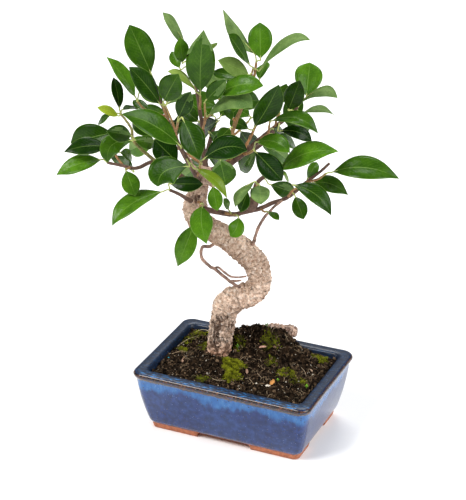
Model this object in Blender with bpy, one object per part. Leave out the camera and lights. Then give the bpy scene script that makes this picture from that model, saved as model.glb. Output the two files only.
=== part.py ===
"""Bonsai in a glazed pot: a small-leaved fig trained in an S, in soil with moss, in a rectangular footed pot.

Metres, Z up, pot length along X, the pot's front towards -Y.  Every object is one closed body.  Touching
pieces stand FIT apart.  The tree is laid out on an elevation drawing: a point is (across, up, near) in
millimetres from the foot of the trunk, with `near` the distance towards the person looking at the tree.
"""
import math

import bmesh
import bpy
import numpy as np
from mathutils import Matrix, Quaternion, Vector
from mathutils.bvhtree import BVHTree

for item in list(bpy.data.objects):
    bpy.data.objects.remove(item, do_unlink=True)

MM = 0.001
FIT = 0.3 * MM              # clearance between any two pieces that touch

# ---- pot ---------------------------------------------------------------------------------------------------
POT_LENGTH = 150 * MM       # outside of the lip, along X
POT_WIDTH = 104 * MM        # outside of the lip, along Y
POT_HEIGHT = 53 * MM        # feet to rim
POT_TAPER = 10.5 * MM       # how far the body's bottom is drawn in on every side
CORNER_RADIUS = 9 * MM      # plan radius of the outer corners
RIM_WIDTH = 10 * MM         # flat rim, lip to inner edge
WALL = 7.5 * MM
FLOOR = 6 * MM
FOOT_HEIGHT = 5 * MM
FOOT_RING = 8 * MM          # width of the ring the feet are cut from
FRONT_ARCH = 46 * MM        # gap between the feet on the long sides
SIDE_ARCH = 34 * MM         # gap between the feet on the short sides
DRAIN_HOLE = 12 * MM        # diameter
DRAIN_SPREAD = 30 * MM      # drain holes at +- this from the middle
MESH_SIDE = 25 * MM         # drain screens lying over the holes
MESH_THICK = 0.9 * MM

# ---- soil and what lies on it ------------------------------------------------------------------------------
SOIL_DROP = 4.5 * MM        # soil below the rim at the wall
MOUND_HEIGHT = 26 * MM      # old root mass behind the trunk
COLLAR_HEIGHT = 5 * MM      # soil heaped about the trunk

# ---- tree --------------------------------------------------------------------------------------------------
TREE_SIZE = 1.0             # whole tree, about the foot of the trunk
FOOT_X = -23.5 * MM         # foot of the trunk from the middle of the pot
FOOT_Y = 6 * MM
FOOT_RISE = 1.5 * MM        # foot of the trunk above the rim
TREE_TURN = math.radians(24)        # the elevation drawing's plane against the pot's long side
LOOK_DOWN = math.radians(25.6)      # the drawing is seen from this far above level
LOOK_SHRINK = 0.00086       # mild perspective of the drawing, per mm nearer
LOOK_CENTRE = (10.35, 89.1)
GIRTH = 1.0                 # thickness of all the wood
LEAF_GIRTH = 1.0            # width of all the leaves
LEAF_RATIO = 0.40           # usual leaf width over length
LEAF_HALF = 0.34 * MM       # half the thickness at the midrib
LEAF_FOLD = math.radians(17)
PETIOLE = 0.65 * MM         # radius

RIGHT = Vector((math.cos(TREE_TURN), math.sin(TREE_TURN), 0))
NEAR = Vector((math.sin(TREE_TURN), -math.cos(TREE_TURN), 0))
UP = Vector((0, 0, 1))
EYE = (NEAR * math.cos(LOOK_DOWN) + UP * math.sin(LOOK_DOWN)).normalized()
FOOT = Vector((FOOT_X, FOOT_Y, POT_HEIGHT + FOOT_RISE))


def spot(across, up, near):
    """A point of the elevation drawing, in the pot's frame."""
    k = 1 - LOOK_SHRINK * near
    across = LOOK_CENTRE[0] + (across - LOOK_CENTRE[0]) * k
    up = LOOK_CENTRE[1] + (up - LOOK_CENTRE[1]) * k
    rise = up + near * math.tan(LOOK_DOWN)
    return FOOT + (RIGHT * across + NEAR * near + UP * rise) * MM * TREE_SIZE


# ---- meshes ------------------------------------------------------------------------------------------------
def mesh_object(name, verts, faces, colour=None, rough=0.5):
    mesh = bpy.data.meshes.new(name)
    mesh.from_pydata([tuple(v) for v in verts], [], faces)
    bm = bmesh.new()
    bm.from_mesh(mesh)
    bmesh.ops.recalc_face_normals(bm, faces=bm.faces)
    bm.to_mesh(mesh)
    bm.free()
    obj = bpy.data.objects.new(name, mesh)
    bpy.context.scene.collection.objects.link(obj)
    if colour:
        paint(obj, colour, rough)
    return obj


def paint(obj, colour, rough):
    material = bpy.data.materials.new(obj.name)
    material.use_nodes = True
    shader = material.node_tree.nodes["Principled BSDF"]
    shader.inputs["Base Color"].default_value = (*colour, 1)
    shader.inputs["Roughness"].default_value = rough
    obj.data.materials.clear()
    obj.data.materials.append(material)


def loft(rings, tip=False):
    """Closed skin over rings of equal length; with tip the last ring is a single point."""
    n = len(rings[0])
    verts = [p for ring in rings for p in ring]
    faces = []
    whole = len(rings) - 1 if not tip else len(rings) - 2
    for i in range(whole):
        for j in range(n):
            k = (j + 1) % n
            faces.append((i * n + j, i * n + k, (i + 1) * n + k, (i + 1) * n + j))
    faces.append(tuple(range(n)))
    last = whole * n
    if tip:
        apex = len(verts) - 1
        faces += [(last + j, last + (j + 1) % n, apex) for j in range(n)]
    else:
        faces.append(tuple(last + j for j in range(n)))
    return verts, faces


def volume(mesh):
    bm = bmesh.new()
    bm.from_mesh(mesh)
    found = bm.calc_volume()
    bm.free()
    return found


def combine(target, tool, how, whole=False):
    """Boolean of two objects; the tool is used up.  Checked by volume, and redone with self-crossings
    resolved where the plain way loses the body; whole asks for one sound shell.  Says whether it worked."""
    step = target.modifiers.new("cut", "BOOLEAN")
    step.operation = how
    step.solver = "EXACT"
    step.object = tool
    tool.hide_render = True
    tool.display_type = "WIRE"
    first, second = volume(target.data), volume(tool.data)
    least = max(first, second) + 0.6 * min(first, second) if how == "UNION" else (first - second) * 0.9
    done = False
    for careful in (False, True):
        step.use_self = careful
        graph = bpy.context.evaluated_depsgraph_get()
        made = bpy.data.meshes.new_from_object(target.evaluated_get(graph))
        if made.polygons and volume(made) > least and (sound(made) or not whole):
            done = True
            break
        bpy.data.meshes.remove(made)
    target.modifiers.clear()
    if done:
        old, target.data = target.data, made
        made.name = target.name
        bpy.data.meshes.remove(old)
    bpy.data.objects.remove(tool, do_unlink=True)
    if not done and not whole:
        raise RuntimeError(f"{how} of {target.name} lost the body")
    return done


def shells_of(bm):
    """Faces grouped by shared edges, smallest group first."""
    left, shells = set(bm.faces), []
    while left:
        stack, shell = [left.pop()], []
        while stack:
            face = stack.pop()
            shell.append(face)
            for edge in face.edges:
                for other in edge.link_faces:
                    if other in left:
                        left.remove(other)
                        stack.append(other)
        shells.append(shell)
    return sorted(shells, key=len)


def sound(mesh):
    """Whether the mesh is one shell, closed, with no edge used twice over, once near points are welded."""
    bm = bmesh.new()
    bm.from_mesh(mesh)
    bmesh.ops.remove_doubles(bm, verts=bm.verts, dist=2e-6)
    bmesh.ops.dissolve_degenerate(bm, dist=1e-6, edges=bm.edges)
    good = all(len(edge.link_faces) == 2 for edge in bm.edges) and len(shells_of(bm)) == 1
    bm.free()
    return good


def keep_main(obj):
    """Only the largest shell is kept, so that the object is one body; loose crumbs of a cut go."""
    bm = bmesh.new()
    bm.from_mesh(obj.data)
    bmesh.ops.remove_doubles(bm, verts=bm.verts, dist=2e-6)
    bmesh.ops.dissolve_degenerate(bm, dist=1e-6, edges=bm.edges)
    for shell in shells_of(bm)[:-1]:
        bmesh.ops.delete(bm, geom=shell, context="FACES")
    bmesh.ops.delete(bm, geom=[v for v in bm.verts if not v.link_faces], context="VERTS")
    bmesh.ops.triangulate(bm, faces=bm.faces)
    bmesh.ops.recalc_face_normals(bm, faces=bm.faces)
    bm.to_mesh(obj.data)
    bm.free()
    return obj


def plan_ring(inset, z, steps=4, grow=0.0):
    """Rounded rectangle of the pot's outline drawn in by inset."""
    radius = max(CORNER_RADIUS - inset * 0.35, 3 * MM)
    half_x = POT_LENGTH / 2 - inset + grow
    half_y = POT_WIDTH / 2 - inset + grow
    ring = []
    for corner in range(4):
        sx = 1 if corner in (0, 3) else -1
        sy = 1 if corner in (0, 1) else -1
        for i in range(steps + 1):
            turn = math.pi / 2 * (corner + i / steps)
            ring.append(Vector((sx * (half_x - radius) + radius * math.cos(turn),
                                sy * (half_y - radius) + radius * math.sin(turn), z)))
    return ring


def even_ring(ring, count):
    """The ring's outline again, as points evenly spaced along it."""
    ends = ring[1:] + ring[:1]
    lengths = [(b - a).length for a, b in zip(ring, ends)]
    step, made, walked = sum(lengths) / count, [], 0.0
    for a, b, length in zip(ring, ends, lengths):
        while len(made) * step < walked + length - 1e-9 and len(made) < count:
            made.append(a.lerp(b, (len(made) * step - walked) / length))
        walked += length
    return made


def block(size, centre, name="tool"):
    hx, hy, hz = (s / 2 for s in size)
    ring = [(-hx, -hy), (hx, -hy), (hx, hy), (-hx, hy)]
    rings = [[Vector((x, y, z)) + Vector(centre) for x, y in ring] for z in (-hz, hz)]
    return mesh_object(name, *loft(rings))


def arch(width, along_x, name="tool"):
    """Prism with a softened top that opens the foot ring from side to side."""
    shape = [(-width / 2, -2 * MM), (-width / 2, FOOT_HEIGHT * 0.45), (-width / 2 + 5 * MM, FOOT_HEIGHT),
             (width / 2 - 5 * MM, FOOT_HEIGHT), (width / 2, FOOT_HEIGHT * 0.45), (width / 2, -2 * MM)]
    reach = POT_LENGTH
    rings = []
    for end in (-reach, reach):
        rings.append([Vector((end, s, z)) if along_x else Vector((s, end, z)) for s, z in shape])
    return mesh_object(name, *loft(rings))


# ---- pot ---------------------------------------------------------------------------------------------------
INNER_FLOOR = FOOT_HEIGHT + FLOOR
SOIL_EDGE = POT_HEIGHT - SOIL_DROP
H = POT_HEIGHT


def inner_inset(z):
    """Inside face of the pot: under the rim at the top, the wall's thickness in from the body lower down."""
    share = (z - INNER_FLOOR) / (H - INNER_FLOOR)
    return (POT_TAPER + WALL) + (RIM_WIDTH - POT_TAPER - WALL) * share


def make_pot():
    body = POT_TAPER
    rings = [plan_ring(body + 1.6 * MM, 0), plan_ring(body + 1.2 * MM, FOOT_HEIGHT * 0.9),
             plan_ring(body + 0.2 * MM, FOOT_HEIGHT + 0.4 * MM), plan_ring(body - 1.2 * MM, FOOT_HEIGHT + 2.6 * MM)]
    rings.append(plan_ring(body * 0.52, FOOT_HEIGHT + (H - FOOT_HEIGHT) * 0.5))
    rings += [plan_ring(2.3 * MM, H - 7.4 * MM), plan_ring(1.5 * MM, H - 5.4 * MM), plan_ring(0.2 * MM, H - 3.8 * MM),
              plan_ring(0, H - 2.2 * MM), plan_ring(0.8 * MM, H - 0.7 * MM), plan_ring(2.4 * MM, H),
              plan_ring(RIM_WIDTH - 1.6 * MM, H), plan_ring(RIM_WIDTH - 0.3 * MM, H - 0.8 * MM),
              plan_ring(inner_inset(H - 3 * MM), H - 3 * MM),
              plan_ring(inner_inset(INNER_FLOOR + 3 * MM), INNER_FLOOR + 3 * MM),
              plan_ring(POT_TAPER + WALL + 2.2 * MM, INNER_FLOOR)]
    pot = mesh_object("pot", *loft(rings))
    inner = POT_TAPER + FOOT_RING
    recess = [plan_ring(inner, -2 * MM), plan_ring(inner, FOOT_HEIGHT - 0.6 * MM),
              plan_ring(inner + 0.8 * MM, FOOT_HEIGHT + 0.1 * MM)]
    combine(pot, mesh_object("tool", *loft(recess)), "DIFFERENCE")
    combine(pot, arch(FRONT_ARCH, False), "DIFFERENCE")
    combine(pot, arch(SIDE_ARCH, True), "DIFFERENCE")
    for side in (-1, 1):
        ring = [(DRAIN_HOLE / 2 * math.cos(t), DRAIN_HOLE / 2 * math.sin(t))
                for t in np.linspace(0, 2 * math.pi, 17)[:-1]]
        hole = [[Vector((side * DRAIN_SPREAD + x, y, z)) for x, y in ring] for z in (0, INNER_FLOOR + 2 * MM)]
        combine(pot, mesh_object("tool", *loft(hole)), "DIFFERENCE")
    keep_main(pot)
    paint(pot, (0.055, 0.09, 0.26), 0.15)
    return pot


def make_screen(name, x):
    """Drain screen: a square of plastic mesh with three by three openings."""
    cells = 7
    cuts = [-MESH_SIDE / 2 + MESH_SIDE * i / cells for i in range(cells + 1)]
    low = INNER_FLOOR + FIT
    solid = {(i, j) for i in range(cells) for j in range(cells) if not (i % 2 and j % 2)}
    bm = bmesh.new()
    at = {}

    def vert(i, j, k):
        if (i, j, k) not in at:
            at[i, j, k] = bm.verts.new((x + cuts[i], cuts[j], low + k * MESH_THICK))
        return at[i, j, k]

    for i, j in sorted(solid):
        bm.faces.new([vert(i, j, 1), vert(i + 1, j, 1), vert(i + 1, j + 1, 1), vert(i, j + 1, 1)])
        bm.faces.new([vert(i, j, 0), vert(i, j + 1, 0), vert(i + 1, j + 1, 0), vert(i + 1, j, 0)])
        sides = [((i, j - 1), (i, j), (i + 1, j)), ((i + 1, j), (i + 1, j), (i + 1, j + 1)),
                 ((i, j + 1), (i + 1, j + 1), (i, j + 1)), ((i - 1, j), (i, j + 1), (i, j))]
        for beyond, a, b in sides:
            if beyond not in solid:
                bm.faces.new([vert(*a, 0), vert(*b, 0), vert(*b, 1), vert(*a, 1)])
    bmesh.ops.recalc_face_normals(bm, faces=bm.faces)
    mesh = bpy.data.meshes.new(name)
    bm.to_mesh(mesh)
    bm.free()
    obj = bpy.data.objects.new(name, mesh)
    bpy.context.scene.collection.objects.link(obj)
    paint(obj, (0.05, 0.12, 0.06), 0.6)
    return obj


# ---- soil --------------------------------------------------------------------------------------------------
MOUND = (FOOT_X + 28 * MM, FOOT_Y + 24 * MM)


def ground(x, y, share=0.0):
    """Height of the soil; share runs from 0 in the middle to 1 at the wall, where it lies flat."""
    mound = math.exp(-((x - MOUND[0]) / (24 * MM)) ** 2 / 2 - ((y - MOUND[1]) / (11 * MM)) ** 2 / 2)
    collar = math.exp(-(((x - FOOT_X) ** 2 + (y - FOOT_Y) ** 2) / (17 * MM) ** 2) / 2)
    lumps = (math.sin(x / (5.3 * MM) + 1.3) * math.cos(y / (4.7 * MM) - 0.4)
             + 0.6 * math.sin((x + y) / (3.9 * MM)) * math.cos((x - 1.7 * y) / (6.1 * MM)))
    ease = 1 - share ** 5
    return SOIL_EDGE + ease * (MOUND_HEIGHT * mound + COLLAR_HEIGHT * collar + 1.0 * MM) + 0.7 * MM * lumps * ease


def soil_solid(name, lift=0.0, wider=0.0):
    low, wall_low = INNER_FLOOR + FIT, INNER_FLOOR + 3 * MM
    rings = [even_ring(plan_ring(POT_TAPER + WALL + 2.2 * MM + FIT * 2 - wider, low), 36),
             even_ring(plan_ring(inner_inset(wall_low) + FIT * 1.2 - wider, wall_low), 36)]
    top = even_ring(plan_ring(inner_inset(SOIL_EDGE) + FIT * 1.2 - wider, SOIL_EDGE + lift), 36)
    rings.append(top)
    for share in (0.93, 0.82, 0.7, 0.57, 0.44, 0.31, 0.16):
        ring = []
        for p in top:
            x, y = p.x * share, p.y * share
            ring.append(Vector((x, y, ground(x, y, share) + lift)))
        rings.append(ring)
    rings.append([Vector((0, 0, ground(0, 0) + lift))])
    return mesh_object(name, *loft(rings, tip=True))


# ---- wood --------------------------------------------------------------------------------------------------
def smooth(points, step=2):
    """Centripetal-style curve through the points; every point is (x, y, z, radius)."""
    pts = [np.array(p, float) for p in points]
    if len(pts) == 2 or step == 1:
        return pts
    pts = [2 * pts[0] - pts[1]] + pts + [2 * pts[-1] - pts[-2]]
    made = []
    for i in range(1, len(pts) - 2):
        p0, p1, p2, p3 = pts[i - 1:i + 3]
        for s in range(step):
            t = s / step
            made.append(0.5 * (2 * p1 + (p2 - p0) * t + (2 * p0 - 5 * p1 + 4 * p2 - p3) * t ** 2
                               + (3 * p1 - p0 - 3 * p2 + p3) * t ** 3))
    made.append(pts[-2])
    return made


def tube(name, path, sides, grow=0.0, knobs=0.0, blunt=0.35):
    """Round skin along a path of (x, y, z, radius); the ends are slightly domed."""
    centres = [Vector(p[:3]) for p in path]
    radii = [p[3] for p in path]
    tangents = []
    for i in range(len(path)):
        a, b = centres[max(i - 1, 0)], centres[min(i + 1, len(path) - 1)]
        tangents.append((b - a).normalized())
    side = tangents[0].orthogonal().normalized()
    rings = []
    for i, (c, t, r) in enumerate(zip(centres, tangents, radii)):
        side = (side - t * side.dot(t)).normalized()
        up = t.cross(side)
        ring = []
        for j in range(sides):
            turn = 2 * math.pi * j / sides
            wave = 1 + knobs * (math.sin(2 * turn + 0.9 * i) * 0.6 + math.sin(3 * turn - 1.7 * i) * 0.4)
            ring.append(c + (side * math.cos(turn) + up * math.sin(turn)) * (r * wave + grow))
        rings.append(ring)
    n = sides
    verts = [p for ring in rings for p in ring]
    faces = []
    for i in range(len(rings) - 1):
        for j in range(n):
            k = (j + 1) % n
            faces.append((i * n + j, i * n + k, (i + 1) * n + k, (i + 1) * n + j))
    first = len(verts)
    verts.append(centres[0] - tangents[0] * (radii[0] * blunt + grow))
    verts.append(centres[-1] + tangents[-1] * (radii[-1] * blunt + grow))
    end = (len(rings) - 1) * n
    faces += [((j + 1) % n, j, first) for j in range(n)]
    faces += [(end + j, end + (j + 1) % n, first + 1) for j in range(n)]
    return mesh_object(name, verts, faces)


def wood_path(points, step=2, start=None):
    """Curve through points of the drawing; with start, its first point is moved onto that other path."""
    pts = [(*spot(a, q, d), r * MM * TREE_SIZE * GIRTH) for a, q, d, r in points]
    if start:
        pts[0] = (*nearest_on(start, Vector(pts[0][:3])), pts[0][3])
    return smooth(pts, step)


TRUNK = [(-1, -16, 0, 9.0), (-0.8, -8, 0, 10.6), (-0.5, 0, 0, 9.9), (0.5, 10, 0, 9.1), (1.5, 20, 0, 9.4),
         (2.7, 30, 1, 9.9), (5, 39, 2, 10.2), (10, 45.5, 3, 10.2), (17, 48.6, 4, 9.5), (23.8, 50.3, 5, 9.1),
         (29, 54.8, 5, 9.2), (31, 61, 5, 9.3), (30.5, 68.5, 4, 9.3), (28.5, 76, 3, 9.5), (24.5, 82.5, 2, 9.5),
         (19, 88.3, 1, 9.5), (12, 94.3, 0, 9.3), (4.8, 99.8, -1, 9.0), (-2.5, 104.5, -2, 9.0),
         (-9.8, 108.8, -3, 9.0), (-15.6, 114.3, -3, 9.3), (-18.4, 122, -3, 9.3), (-18, 131, -3, 8.8),
         (-16, 140, -3, 7.2), (-13, 149, -4, 5.6), (-9, 158, -4, 4.4)]
AERIAL_LEFT = [(0, 99, 0, 1.4), (-6.9, 92.5, 1, 1.4), (-12.8, 92, 2, 1.3), (-14.5, 87, 3, 1.3),
               (-13.2, 81, 4, 1.3), (-7.8, 75, 5, 1.35), (-3.3, 72.3, 6, 1.35), (2, 67.2, 6, 1.3),
               (7.4, 62.5, 6, 1.25), (12, 58.8, 6, 1.25), (19, 55, 6, 1.2), (22, 51, 6, 1.2)]
AERIAL_FORK = [(-4.5, 73.1, 5.6, 1.0), (-1, 74, 7, 0.95), (3, 70.5, 8.5, 0.9), (8, 66.4, 9.5, 0.9),
               (14, 65.5, 9, 0.85), (20.5, 66.2, 8, 0.8)]
AERIAL_RIGHT = [(22, 86, 2, 1.5), (27, 97.5, 4, 1.4), (27.3, 100, 5, 1.3), (29.6, 107.5, 7, 1.25),
                (33, 114.5, 9, 1.2), (36.2, 119.4, 10, 1.2), (38.8, 122.2, 12, 1.1), (42.5, 126.5, 16.8, 1.1),
                (48, 131.2, 17.6, 1.0)]
ROOT_STUB = [(36, 19.5, -11, 4.2), (42, 19.3, -11, 5.0), (46, 18.6, -11, 5.3), (51, 18.2, -11, 4.8),
             (56, 17.6, -11, 5.3), (59.5, 17, -11, 4.2)]

# Stems: name, parent, points (across, up, near, radius).  A stem starts on its parent's centre line and is
# cut back to FIT from the parent's skin.
STEMS = [
    ("branch_left", "trunk", [(-17, 140, -3, 2.6), (-28, 150, 1, 2.2), (-40, 160, 5, 1.9), (-51, 163, 8, 1.6),
                              (-60, 159, 9, 1.4), (-66, 158, 10, 1.3), (-74.8, 160.3, 10, 1.2), (-85, 162.6, 10, 1)]),
    ("branch_left_up", "branch_left", [(-47, 162.6, 7, 1.4), (-52, 167, 8, 1.4), (-60, 174.5, 8, 1.25),
                                       (-65, 181.5, 8, 1.15), (-66, 190, 8, 1), (-70, 197, 6, 0.9),
                                       (-73.6, 202, 4, 0.8)]),
    ("branch_left_low", "trunk", [(-18, 129, -1, 1.8), (-24, 132, 8, 1.6), (-30, 136, 14, 1.4),
                                  (-38, 140, 18, 1.1)]),
    ("branch_right_low", "trunk", [(-16, 124, -1, 2.6), (-8, 123, 5, 2.4), (10, 119.5, 11, 1.9), (19, 121.5, 13, 1.8),
                                   (30, 124, 14, 1.7), (41, 129.3, 14, 1.6), (50, 132.6, 14, 1.4),
                                   (58, 138.5, 14, 1.3), (65, 145.5, 13, 1.2), (76, 154.5, 12, 1.1),
                                   (83.5, 162, 12, 1)]),
    ("branch_right_mid", "branch_right_low", [(24, 122.4, 13.5, 2.6), (25.5, 128, 12.5, 4.2), (27, 134, 11, 3.4),
                                              (28.5, 145, 9, 1.9), (34, 151, 8, 1.5), (42, 157.5, 7, 1.2)]),
    ("leader", "trunk", [(-10, 152, -4, 3.3), (4, 160, -5, 3.2), (15, 168, -6, 2.8), (24, 175.5, -7, 2.3)]),
    ("branch_right_far", "leader", [(21, 173.2, -6.6, 1.9), (30, 181, -8, 1.8), (40, 190, -9, 1.6),
                                    (54, 202, -10, 1.3), (58.5, 207.5, -10, 1)]),
    ("branch_top_right", "leader", [(8, 162.8, -5.2, 2), (9, 176, -2, 1.8), (9.8, 187, 0, 1.7), (12.5, 196, 1, 1.5),
                                    (16, 205, 2, 1.4), (21, 219, 3, 1.3), (26, 232, 4, 1.1), (27.5, 243, 4, 0.8)]),
    ("branch_top_mid", "trunk", [(-9.6, 156, -4, 2.2), (-12, 172, -6, 1.9), (-12.5, 190, -3, 1.6),
                                 (-14.5, 205, 0, 1.4), (-16, 216, 1, 1.2), (-18, 227, 1, 1.1),
                                 (-22.5, 240, -1, 1), (-23.3, 251, -3, 0.8)]),
    ("branch_top_left", "trunk", [(-14, 146, -4, 2.2), (-22, 160, -7, 1.9), (-30, 176, -5, 1.7),
                                  (-36.6, 191, -2, 1.5), (-40, 203, 0, 1.3), (-44, 212, 0, 1.2),
                                  (-48, 223, -1, 1), (-49.4, 231, -2, 0.8)]),
    ("branch_back", "trunk", [(-14, 144, -4, 2.6), (-13, 156, -22, 2.3), (-9, 170, -38, 2), (-6, 184, -52, 1.6),
                              (-2, 197, -60, 1.2)]),
    ("branch_back_right", "leader", [(16, 168.9, -6, 2.1), (27, 174, -24, 1.8), (38, 184, -40, 1.5),
                                     (46, 196, -50, 1.1)]),
    ("branch_front", "trunk", [(-14.5, 146, -4, 2.2), (-18, 152, 12, 1.8), (-21, 158.5, 25, 1.5),
                               (-26, 169, 34, 1.3), (-28.9, 175, 38, 1.1)]),
    ("twig_left_far", "branch_left", [(-73, 159.8, 10, 0.9), (-78, 168, 5, 0.9), (-80, 177, 0, 0.8),
                                      (-80, 184, -4, 0.7)]),
    ("twig_left_front", "branch_left_up", [(-64, 180, 8, 0.9), (-65, 182, 15, 0.8), (-65, 183.5, 20, 0.7)]),
    ("twig_left_mid", "branch_left", [(-30, 152, 2, 0.9), (-31, 156, 12, 0.9), (-32, 161, 20, 0.7)]),
    ("twig_left_down", "branch_left", [(-68, 158.3, 10, 0.8), (-70, 157.5, 16, 0.8), (-71, 157.2, 20, 0.7)]),
    ("twig_front_mid", "branch_front", [(-17.2, 150, 8, 1), (-15, 157, 20, 0.9), (-14.5, 163, 30, 0.8)]),
    ("twig_trunk_front", "trunk", [(-18, 130, -3, 1.1), (-15, 129.5, 12, 1), (-14.5, 128, 20, 0.9),
                                   (-17.5, 118, 19, 0.8)]),
    ("twig_trunk_right", "branch_right_low", [(4, 120.6, 9, 0.9), (9, 119.5, 17, 0.9), (13, 119, 22, 0.7)]),
    ("twig_trunk_top", "trunk", [(-14, 146, -4, 1.3), (-8, 146, 9, 1.1), (-4.5, 145.5, 16, 0.9),
                                 (3, 148, 19, 0.7)]),
    ("twig_left_top", "branch_top_left", [(-39, 200, -0.5, 0.9), (-48, 202.5, 2, 0.9), (-56, 206, 3, 0.8),
                                          (-61, 212, 2, 0.7)]),
    ("twig_left_top_front", "branch_top_left", [(-38, 196, -1, 1), (-40.5, 204, 9, 0.9), (-42, 209, 14, 0.8)]),
    ("twig_left_inner", "branch_top_left", [(-33.5, 184, -3.5, 0.9), (-31.5, 192, 9, 0.9), (-31, 196, 17, 0.8)]),
    ("twig_mid_front", "branch_top_mid", [(-14.3, 204, 0, 1), (-14, 212, 8, 0.9), (-14.2, 217, 12, 0.8)]),
    ("twig_mid_right", "branch_top_mid", [(-12.6, 188, -3, 1), (-10.5, 197, 8, 0.9), (-10.6, 205, 13, 0.8),
                                          (-10.8, 211, 16, 0.7)]),
    ("twig_top_right", "branch_top_right", [(24.4, 228, 3.7, 0.9), (24.3, 234, 9, 0.8), (25.5, 238, 12, 0.7)]),
    ("twig_right_inner", "branch_top_right", [(12.3, 195, 1, 0.9), (7, 204, 8, 0.9), (2, 211, 12, 0.8),
                                              (-2, 216, 14, 0.7)]),
    ("twig_right_up", "leader", [(14, 167.2, -6, 1.3), (20, 176, 3, 1.2), (25.5, 188, 8, 1), (30.5, 200, 8, 0.8)]),
    ("twig_far_up", "branch_right_far", [(42, 191.8, -9.2, 0.9), (43, 198, -4, 0.9), (45.5, 203, -2, 0.7)]),
    ("twig_far_low", "branch_right_far", [(31, 182, -8, 0.9), (36.5, 186, 4, 0.9), (37.5, 192, 9, 0.8),
                                          (38, 196, 11, 0.7)]),
    ("twig_right_drop", "leader", [(17, 169.6, -6.2, 1.1), (21.5, 169.8, 6, 1), (26, 173, 14, 0.8)]),
    ("twig_leader_low", "leader", [(6, 161.4, -5.1, 1), (7, 167, 4, 0.9), (9, 168.7, 10, 0.8)]),
    ("twig_right_leaf", "branch_right_mid", [(36, 152.8, 7.8, 1), (39, 151, 14, 0.9), (42, 153, 20, 0.8)]),
    ("twig_right_low", "branch_right_low", [(52, 134, 14, 0.9), (56, 139.5, 20, 0.9), (62, 143.6, 24, 0.7)]),
    ("twig_right_tip", "branch_right_low", [(66, 146.3, 12.9, 0.9), (75, 149, 18, 0.8), (81, 153.6, 20, 0.7)]),
    ("twig_lump", "branch_right_mid", [(28.2, 142, 9.4, 1), (28.5, 143.5, 16, 0.9), (28.5, 145.5, 22, 0.8)]),
    ("twig_right_hang", "branch_right_low", [(31, 124.4, 14, 0.8), (34, 122, 18, 0.7), (36, 121.8, 20, 0.6)]),
    ("twig_back_left", "branch_back", [(-11, 163, -30, 1.1), (-28, 172, -38, 1), (-46, 183, -42, 0.8)]),
    ("twig_back_mid", "branch_back", [(-8, 175, -43, 1), (10, 184, -52, 0.9), (22, 196, -56, 0.8)]),
    ("twig_back_top", "branch_top_mid", [(-13, 194, -2.2, 1), (-4, 204, -18, 0.9), (6, 216, -28, 0.8)]),
    ("twig_back_up_left", "branch_top_left", [(-31, 178, -4.7, 1), (-34, 192, -18, 0.9), (-40, 208, -28, 0.8)]),
]


def leaf(stem, base, tip, seen, near, via=None, under=False, away=False, turn=None, wide=None):
    """A leaf: blade from base to tip on the drawing, its drawn width, and how near its two ends stand."""
    return dict(stem=stem, base=base, tip=tip, seen=seen, near=near, via=via, under=under, away=away,
                turn=turn, wide=wide)


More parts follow.
